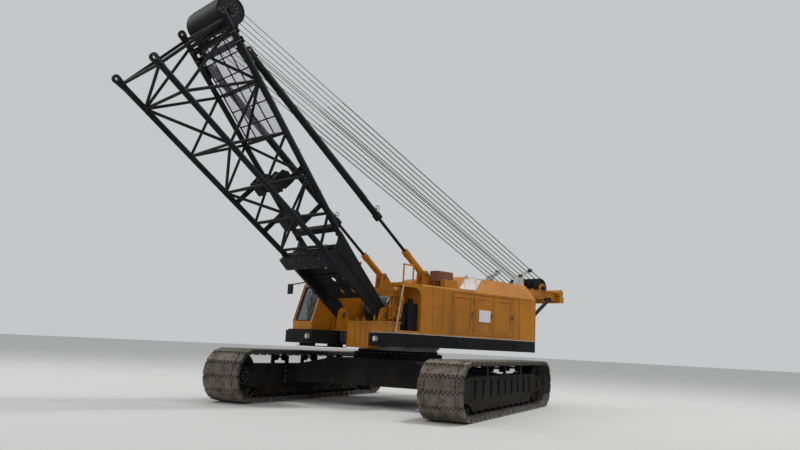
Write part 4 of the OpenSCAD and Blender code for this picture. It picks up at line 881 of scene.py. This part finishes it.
class CRANE_OT_cab(bpy.types.Operator):
    """Adds window rubbers, wiper, seat cushions, levers, pedals and handles to the cab"""
    bl_idname = "crane.cab"
    bl_label = "Cab fittings"

    def execute(self, context):
        shape = Shape("rubber")
        # Windscreen rubber and wiper
        corners = ((-1.76, 2.09), (-1.10, 2.09), (-1.10, 2.995), (-1.76, 2.995))
        shape.edge([screen(*c) for c in corners], 0.016, 8)
        arm = (screen(-1.2, 2.1, 0.02), screen(-1.22, 2.2, 0.03), screen(-1.42, 2.62, 0.03))
        shape.pipe(arm, 0.008, 8, 4)
        shape.rod(screen(-1.36, 2.4, 0.03), screen(-1.5, 2.86, 0.03), 0.007, 6)
        # Corner trims and the light edge of the side panel
        shape.pipe((screen(-1.012, 2.06), screen(-1.012, 3.1)), 0.012, 8, 2, "edge_strip")
        shape.pipe((screen(-1.85, 2.06), screen(-1.85, 3.09)), 0.012, 8, 2)
        shape.box((0.5, -1.012, 1.875), (2.17, -1.004, 1.9), 0.002, "yellow_paint")
        shape.box((0.52, -1.012, 3.05), (1.84, -1.004, 3.07), 0.002, "yellow_paint")
        # Raised middle of the roof
        shape.box((0.55, -1.8, 3.1095), (1.75, -1.06, 3.12), 0.01, "yellow_paint")
        # Grab rail at the door side, and mirror glass
        shape.pipe(((1.625, -1.848, 2.1), (1.625, -1.9, 2.14), (1.625, -1.9, 2.72), (1.625, -1.848, 2.76)),
                   0.013, 8, 4, "black_paint")
        shape.box((2.365, -1.9, 2.79), (2.3705, -1.72, 3.04), 0.002, "mirror_glass")
        # Levers with their knobs, display and pedals
        knob = ((0, 0.01), (0.02, 0.022), (0.05, 0.024), (0.07, 0.012))
        for s, x in product(SIDES, (1.2, 1.38)):
            y = -1.43 + s * 0.31
            shape.rod((x, y, 2.455), (x + 0.03, y, 2.6), 0.008, 8, "dark_steel")
            shape.lathe((x + 0.03, y, 2.59), (0, 0, 1), knob, 12)
        shape.strip(-0.13, 0.13, 0, 0.2, (1.83, -1.43, 2.52), (0, 1, 0), (0.35, 0, 0.94), 0.03)
        for y in (-1.55, -1.31):
            shape.strip(-0.05, 0.05, 0, 0.22, (1.57, y, 1.93), (0, 1, 0), (0.8, 0, 0.45), 0.012, "dark_steel")
        # Rubber of the fixed side window
        side = ((1.64, 2.1), (2.05, 2.1), (1.80, 2.98), (1.64, 2.98))
        shape.edge([Vector((x, -1.852, z)) for x, z in side], 0.009, 6)
        shape.done("cab_fittings", "upper_works")
        door = Shape("rubber")
        window = ((0.71, 2.26), (1.49, 2.26), (1.49, 2.95), (0.71, 2.95))
        door.edge([Vector((x, -1.898, z)) for x, z in window], 0.011, 6)
        door.box((1.49, -1.9, 2.1), (1.58, -1.894, 2.22), 0.003, "dark_steel")
        door.done("cab_door_fittings", "sliding_cab_door")
        cushion("seat_cushion", (0.885, -1.655, 2.3465), (1.365, -1.205, 2.425), 2, (1.045, 1.205))
        cushion("seat_back_cushion", (0.8715, -1.645, 2.44), (0.94, -1.215, 2.91), 0, (2.6, 2.76))
        return {"FINISHED"}


class CRANE_OT_winches(bpy.types.Operator):
    """Winds rope on the three drums and adds their ribs and bolts"""
    bl_idname = "crane.winches"
    bl_label = "Winches"

    def execute(self, context):
        shape = Shape()
        for body, x in DRUMS.items():
            rope = Shape("rope_wire")
            for k in range(34):
                rope.torus((x, -0.447 + k * 0.0271, DRUM_Z), (0, 1, 0), 0.302, 0.0135, 40, 6)
            for s in SIDES:
                flange = (x, s * 0.4905, DRUM_Z)
                rope.bolts(flange, (0, s, 0), 0.13, 10, 0.014)
                for a in range(6):
                    c, e = math.cos(a * math.pi / 3), math.sin(a * math.pi / 3)
                    rope.strip(0.14, 0.385, -0.012, 0.012, flange, (c, 0, e), (-e, 0, c), -0.012 * s,
                               "dark_steel")
                shape.bolts((x, s * 0.5805, DRUM_Z), (0, s, 0), 0.14, 10, 0.012, "yellow_paint")
                shape.torus((x, s * 0.5825, DRUM_Z), (0, 1, 0), 0.095, 0.01, 28, 6)
            rope.done("%s_rope" % body, body)
        shape.done("winch_fittings", "upper_works")
        return {"FINISHED"}


class CRANE_OT_boom(bpy.types.Operator):
    """Adds mesh, gussets, hoses and pins to the boom base"""
    bl_idname = "crane.boom"
    bl_label = "Boom fittings"

    def execute(self, context):
        mesh = Shape("mesh_wire", BOOM @ TILT)
        # Fine mesh in the middle of the walkway's grating
        z = 0.036 + 0.0003 + 0.011
        wire = (-0.0025, 0.0025)
        for i in range(76):
            mesh.strip(-0.778, 0.778, *wire, (5.16 + i * 0.0327, 0, z), (0, 1, 0), (0, 0, 1), 0.002)
        for j in range(44):
            mesh.strip(5.16, 7.64, *wire, (0, -0.765 + j * 0.0356, z + 0.004), (1, 0, 0), (0, 0, 1), 0.002)
        mesh.done("walkway_mesh", "boom")
        shape = Shape("black_paint", BOOM)
        # Rims of the eyes at the chords' ends, and collars where the chords leave the legs
        for s, k in product(SIDES, SIDES):
            for y in (0.985, 0.915):
                shape.torus((8.05, s * y, k * 8.05 * RISE), (0, 1, 0), 0.05, 0.006, 28, 6, "dark_steel")
            collar = ((0, 0.068), (0.01, 0.084), (0.03, 0.084), (0.04, 0.068))
            shape.lathe((2.36, s * FOOT_Y, k * 2.36 * RISE), (1, s * 0.02, k * RISE), collar, 32)
        # Hose along the left upper chord, with its clamps
        points = [Vector((s, chord_y(s) + 0.02, s * RISE + 0.078)) for s in (2.5, 3.5, 4.6, 5.8, 6.8, 7.6)]
        shape.pipe(points, 0.014, 8, slot="hose")
        for p in points[1:-1]:
            shape.block(p - Vector((0, 0, 0.001)), (0.02, 0.03, 0.019), 0.004, "dark_steel")
        for s in SIDES:
            # Hoses on the inner face of each leg
            for k in range(2):
                shape.pipe(((0.3, s * 0.765, 0.09 + k * 0.035), (0.8, s * 0.764, 0.13 + k * 0.04),
                            (1.6, s * 0.764, 0.18 + k * 0.045), (2.2, s * 0.764, 0.22 + k * 0.05)),
                           0.014, 8, slot="hose")
            for x in (0.8, 1.3, 1.85):
                shape.block((x, s * 0.758, 0.13 + x * 0.08), (0.02, 0.018, 0.06), 0.004, "dark_steel")
            # Rib on its outer face
            shape.strip(0.25, 2.0, -0.006, 0.006, (0, s * 0.885, 0), (1, 0, 0), (0, 0, 1), -0.018 * s)
        # Ribs under the cross plate, bolts and ribs of the box beam
        for x in (1.05, 1.45, 1.85):
            shape.block((x, 0, -0.0875), (0.008, 0.77, 0.0175), 0.002)
        for y, x in product((-0.8, -0.4, 0.0, 0.4, 0.8), (2.05, 2.29)):
            shape.bolt((x, y, -0.52), (0, 0, -1), 0.016)
        for y in (-0.6, -0.2, 0.2, 0.6):
            shape.block((2.345, y, -0.38), (0.007, 0.006, 0.12), 0.002)
        # Pale rollers on the cross tubes between the legs
        roller = ((0, 0.09), (0.03, 0.09), (0.05, 0.07), (0.63, 0.07), (0.65, 0.09), (0.68, 0.09))
        for x in (1.45, 2.15):
            shape.lathe((x, -0.34, 0.09), (0, 1, 0), roller, 28, "grey_paint")
        shape.done("boom_fittings", "boom")
        return {"FINISHED"}


def sheave_hubs(name, body, x, z, turn=None):
    """Hub rings and inner rims on both faces of a row of sheaves."""
    hubs = Shape(turn=turn)
    for y, k in product(SHEAVE_Y, SIDES):
        hubs.torus((x, y + k * 0.0405, z), (0, 1, 0), 0.1, 0.012, 28, 6)
        hubs.torus((x, y + k * 0.04, z), (0, 1, 0), 0.25, 0.006, 40, 6, "black_paint")
    hubs.done(name, body)


class CRANE_OT_head(bpy.types.Operator):
    """Adds rims, rope bars and bolts to the head block"""
    bl_idname = "crane.head"
    bl_label = "Head fittings"

    def execute(self, context):
        shape = Shape("black_paint", BOOM)
        for s in SIDES:
            shape.bolts((HEAD_S, s * 0.7305, HEAD_D), (0, s, 0), 0.14, 10, 0.013)
            shape.torus((HEAD_S, s * 0.731, HEAD_D), (0, 1, 0), 0.315, 0.01, 56, 6)
        # Bars that keep the ropes on the sheaves
        for angle in (8, 58):
            t = math.radians(angle)
            x, z = HEAD_S + 0.351 * math.cos(t), HEAD_D + 0.351 * math.sin(t)
            shape.rod((x, -0.7, z), (x, 0.7, z), 0.012, 10)
        # Bolts and chord rings of the two cross beams
        shape.turn = BOOM @ TILT
        for u, y in product((7.405, 7.635), (-0.94, 0.94)):
            for i, j in product((-0.045, 0.045), (-0.05, 0.05)):
                shape.bolt((u + i, y + j, 0.1022), (0, 0, 1), 0.014)
            shape.torus((u, y, 0.0), (1, 0, 0), 0.078, 0.008, 32, 6, "dark_steel")
        shape.done("head_fittings", "boom")
        sheave_hubs("head_sheave_hubs", "head_sheave_set", HEAD_S, HEAD_D, BOOM)
        return {"FINISHED"}


class CRANE_OT_gantry(bpy.types.Operator):
    """Adds pins, rollers and bolts to the gantry"""
    bl_idname = "crane.gantry"
    bl_label = "Gantry fittings"

    def execute(self, context):
        shape = Shape("yellow_paint")
        for s in SIDES:
            shape.bolts((GANTRY.x, s * 0.6255, GANTRY.z), (0, s, 0), 0.11, 8, 0.012)
            shape.bolts((-6.4, s * 0.7705, 3.47), (0, s, 0), 0.075, 6, 0.012, "yellow_paint")
            for j in range(8):
                shape.bolt((-4.3 - j * 0.27, s * 0.6255, 3.3), (0, s, 0), 0.012, "yellow_paint")
            # Rollers on the guide plates
            tip = ((0, 0.055), (0.01, 0.062), (0.09, 0.062), (0.1, 0.055))
            shape.lathe((-4.88, s * 0.609, 4.07), (0, s, 0), tip, 20, "rubber")
            shape.bolt((-4.88, s * 0.709, 4.07), (0, s, 0), 0.016)
            shape.lathe((-4.42, s * 0.609, 3.86), (0, s, 0), ((0, 0.045), (0.08, 0.045)), 16, "rubber")
            # Lifting eye, and the pin at the foot of each strut
            shape.torus((-5.1, s * 0.6, 3.5), (0, 1, 0), 0.035, 0.01, 16, 6)
            pin = ((0, 0.036), (0.004, 0.04), (0.141, 0.04), (0.145, 0.036))
            shape.lathe((-4.01, s * 0.69, 1.95), (0, s, 0), pin, 16, "dark_steel")
        for y in (-0.6, -0.3, 0.0, 0.3, 0.6):
            shape.box((-6.514, y - 0.006, 3.19), (-6.505, y + 0.006, 3.34), 0.002)
        shape.done("gantry_fittings", "upper_works")
        sheave_hubs("gantry_sheave_hubs", "gantry_sheave_set", GANTRY.x, GANTRY.z)
        return {"FINISHED"}


class CRANE_OT_falls(bpy.types.Operator):
    """Draws the falls of the boom hoist as ropes that slide into each other"""
    bl_idname = "crane.falls"
    bl_label = "Boom hoist falls"

    def execute(self, context):
        way = (HEAD - GANTRY).normalized()
        up = Vector((-way.z, 0.0, way.x))
        lower, upper = Shape("rope_wire"), Shape("rope_wire")
        for y, k in product(SHEAVE_Y, SIDES):
            at = Vector((0, y, 0)) + up * (k * SHEAVE_R)
            lower.tube(GANTRY + at, GANTRY + at + way * 9.3, 0.0135, 0.0115)
            upper.rod(HEAD + at - way * 5.65, HEAD + at, 0.0095, 8)
        lower.done("lower_falls", "hoist_falls_lower", "falls_lower")
        upper.done("upper_falls", "hoist_falls_upper", "falls_upper")
        return {"FINISHED"}


class CRANE_OT_backstops(bpy.types.Operator):
    """Adds ring lugs, bands, caps and pins to the backstops"""
    bl_idname = "crane.backstops"
    bl_label = "Backstop fittings"

    def execute(self, context):
        way = (STOP_EYE - STOP_TOP).normalized()
        long = (STOP_EYE - STOP_TOP).length
        up = Vector((0, 1, 0)).cross(way)
        corner = Vector((0.02, 0.02, 0.02))
        upper, lower, posts = Shape("black_paint"), Shape(), Shape()
        for s in SIDES:
            y = Vector((0, s * FOOT_Y, 0))
            top = STOP_TOP + y
            at = top + way * 5.02
            upper.box(at + up * 0.08 - corner, at + up * 0.12 + corner, 0.005)
            upper.torus(at + up * 0.17, (0, 1, 0), 0.055, 0.011, 28, slot="dark_steel")
            upper.bolts(top + way * 5.2403, way, 0.075, 8, 0.011)
            for k in (0.35, 2.4, 4.5):
                upper.lathe(top + way * k, way, ((0, 0.083), (0.004, 0.09), (0.05, 0.09), (0.054, 0.083)), 32)
            upper.pipe([top + way * k + up * 0.1 for k in (0.6, 1.8, 3.2, 4.6)], 0.012, 8, 4, "hose")
            for k in SIDES:
                pin = top + Vector((0, k * 0.081, 0))
                upper.lathe(pin, (0, k, 0), ((0, 0.034), (0.012, 0.03)), 20, "dark_steel")
            lower.torus(top + way * (long - 0.885), way, 0.084, 0.009, 40)
            lower.bolts(top + way * (long - 0.81), -way, 0.0915, 8, 0.006)
            lower.torus(top + way * (long - 0.3), way, 0.086, 0.008, 40, slot="yellow_paint")
            for k in SIDES:
                pin = STOP_EYE + y + Vector((0, k * 0.135, 0))
                posts.lathe(pin, (0, k, 0), ((0, 0.05), (0.02, 0.05), (0.024, 0.04)), 20)
                for x in (-0.36, -0.2, 0.04):
                    posts.bolt((x, s * FOOT_Y + k * 0.16, 3.1005), (0, 0, 1), 0.014)
        upper.done("backstop_tube_fittings", "backstop_upper")
        lower.done("backstop_rod_fittings", "backstop_lower")
        posts.done("backstop_post_fittings", "upper_works")
        return {"FINISHED"}


COLOUR = dict(subtype="COLOR", size=3, min=0.0, max=1.0)


class CraneLook(bpy.types.PropertyGroup):
    """Colours and sizes that change the look of the crane."""
    yellow: FloatVectorProperty(name="House paint", description="Colour of the house, cab and gantry",
                                default=(0.45, 0.165, 0.004), **COLOUR)
    black: FloatVectorProperty(name="Frame paint", description="Colour of boom base, deck and undercarriage",
                               default=(0.009, 0.0095, 0.011), **COLOUR)
    shoes: FloatVectorProperty(name="Shoe steel", description="Colour of the track shoes",
                               default=(0.072, 0.060, 0.047), **COLOUR)
    dust: FloatVectorProperty(name="Dust", description="Colour of the dust",
                              default=(0.30, 0.25, 0.18), **COLOUR)
    glass: FloatVectorProperty(name="Glass", description="Tint of the windows",
                               default=(0.05, 0.07, 0.08), **COLOUR)
    lens: FloatProperty(name="Lens", description="Focal length of the camera", unit="CAMERA", min=10.0,
                        max=200.0, default=33.15)
    eye: FloatProperty(name="Eye height", description="Height of the camera over the ground", unit="LENGTH",
                       min=0.1, max=5.0, default=1.538)


class CRANE_OT_stage(bpy.types.Operator):
    """Adds the floor, the lights and the camera"""
    bl_idname = "crane.stage"
    bl_label = "Stage"

    def execute(self, context):
        scene = context.scene
        world = scene.world or bpy.data.worlds.new("Studio")
        scene.world = world
        world.use_nodes = True
        back = world.node_tree.nodes["Background"]
        back.inputs["Color"].default_value = (0.94, 0.95, 0.96, 1.0)
        back.inputs["Strength"].default_value = 0.6
        scene.view_settings.view_transform = "Standard"
        mesh = bpy.data.meshes.new("floor")
        r = 160.0
        mesh.from_pydata([(-r, -r, 0), (r, -r, 0), (r, r, 0), (-r, r, 0)], [], [(0, 1, 2, 3)])
        floor = bpy.data.objects.new("floor", mesh)
        scene.collection.objects.link(floor)
        mat, tree, shader = base_material("floor_finish")
        feed(tree, (0.62, 0.62, 0.61), shader["Base Color"])
        feed(tree, 0.8, shader["Roughness"])
        mesh.materials.append(mat)
        for name, energy, size, at, aim in (
                ("key", 3400.0, 5.0, (-9.0, 6.0, 27.0), (0.0, 0.0, 3.0)),
                ("fill", 500.0, 14.0, (19.0, 20.0, 14.0), (0.0, 0.0, 3.0)),
                ("back", 1700.0, 9.0, (14.0, -18.0, 20.0), (0.0, 0.0, 4.0))):
            data = bpy.data.lights.new(name, "AREA")
            data.energy = energy
            data.size = size
            lamp = bpy.data.objects.new(name, data)
            scene.collection.objects.link(lamp)
            lamp.location = at
            lamp.rotation_euler = (Vector(aim) - Vector(at)).to_track_quat("-Z", "Y").to_euler()
        data = bpy.data.cameras.new("camera")
        data.sensor_width = 36.0
        data.lens = scene.crane_look.lens
        data.clip_end = 400.0
        cam = bpy.data.objects.new("camera", data)
        scene.collection.objects.link(cam)
        scene.camera = cam
        # The camera looks along its heading, tilted up by its pitch and turned about that line by its roll
        heading, pitch, roll = math.radians(42.514), math.radians(9.313), math.radians(2.777)
        level = Vector((-math.sin(heading), -math.cos(heading), 0.0))
        right = Vector((-math.cos(heading), math.sin(heading), 0.0))
        ahead = level * math.cos(pitch) + Vector((0, 0, math.sin(pitch)))
        up = -level * math.sin(pitch) + Vector((0, 0, math.cos(pitch)))
        side = right * math.cos(roll) + up * math.sin(roll)
        top = up * math.cos(roll) - right * math.sin(roll)
        turn = Matrix((side, top, -ahead)).transposed()
        cam.matrix_world = Matrix.Translation((13.764, 14.850, scene.crane_look.eye)) @ turn.to_4x4()
        return {"FINISHED"}


class CRANE_OT_finishes(bpy.types.Operator):
    """Gives each solid of the frame its finish"""
    bl_idname = "crane.finishes"
    bl_label = "Finishes"

    def execute(self, context):
        for part in frame["record"]["subparts"]:
            node = NODES[part["node"]]
            node.data.materials.clear()
            node.data.materials.append(finish(part["material_slot"]))
        return {"FINISHED"}


class CRANE_PT_panel(bpy.types.Panel):
    """Lists the steps that dress the crane"""
    bl_idname = "CRANE_PT_panel"
    bl_label = "Crane"
    bl_space_type = "VIEW_3D"
    bl_region_type = "UI"
    bl_category = "Crane"

    def draw(self, context):
        for name in CraneLook.__annotations__:
            self.layout.prop(context.scene.crane_look, name)
        for step in STEPS:
            self.layout.operator(step.bl_idname)


STEPS = (CRANE_OT_stage, CRANE_OT_finishes, CRANE_OT_tracks, CRANE_OT_undercarriage, CRANE_OT_deck,
         CRANE_OT_house, CRANE_OT_cab, CRANE_OT_winches, CRANE_OT_boom, CRANE_OT_head, CRANE_OT_gantry,
         CRANE_OT_falls, CRANE_OT_backstops)
CLASSES = (CraneLook,) + STEPS + (CRANE_PT_panel,)


def register():
    for cls in CLASSES:
        bpy.utils.register_class(cls)
    bpy.types.Scene.crane_look = PointerProperty(type=CraneLook)


def unregister():
    del bpy.types.Scene.crane_look
    for cls in reversed(CLASSES):
        bpy.utils.unregister_class(cls)


def main():
    register()
    for step in STEPS:
        group_name, op = step.bl_idname.split(".")
        getattr(getattr(bpy.ops, group_name), op)()


if __name__ == "__main__":
    main()
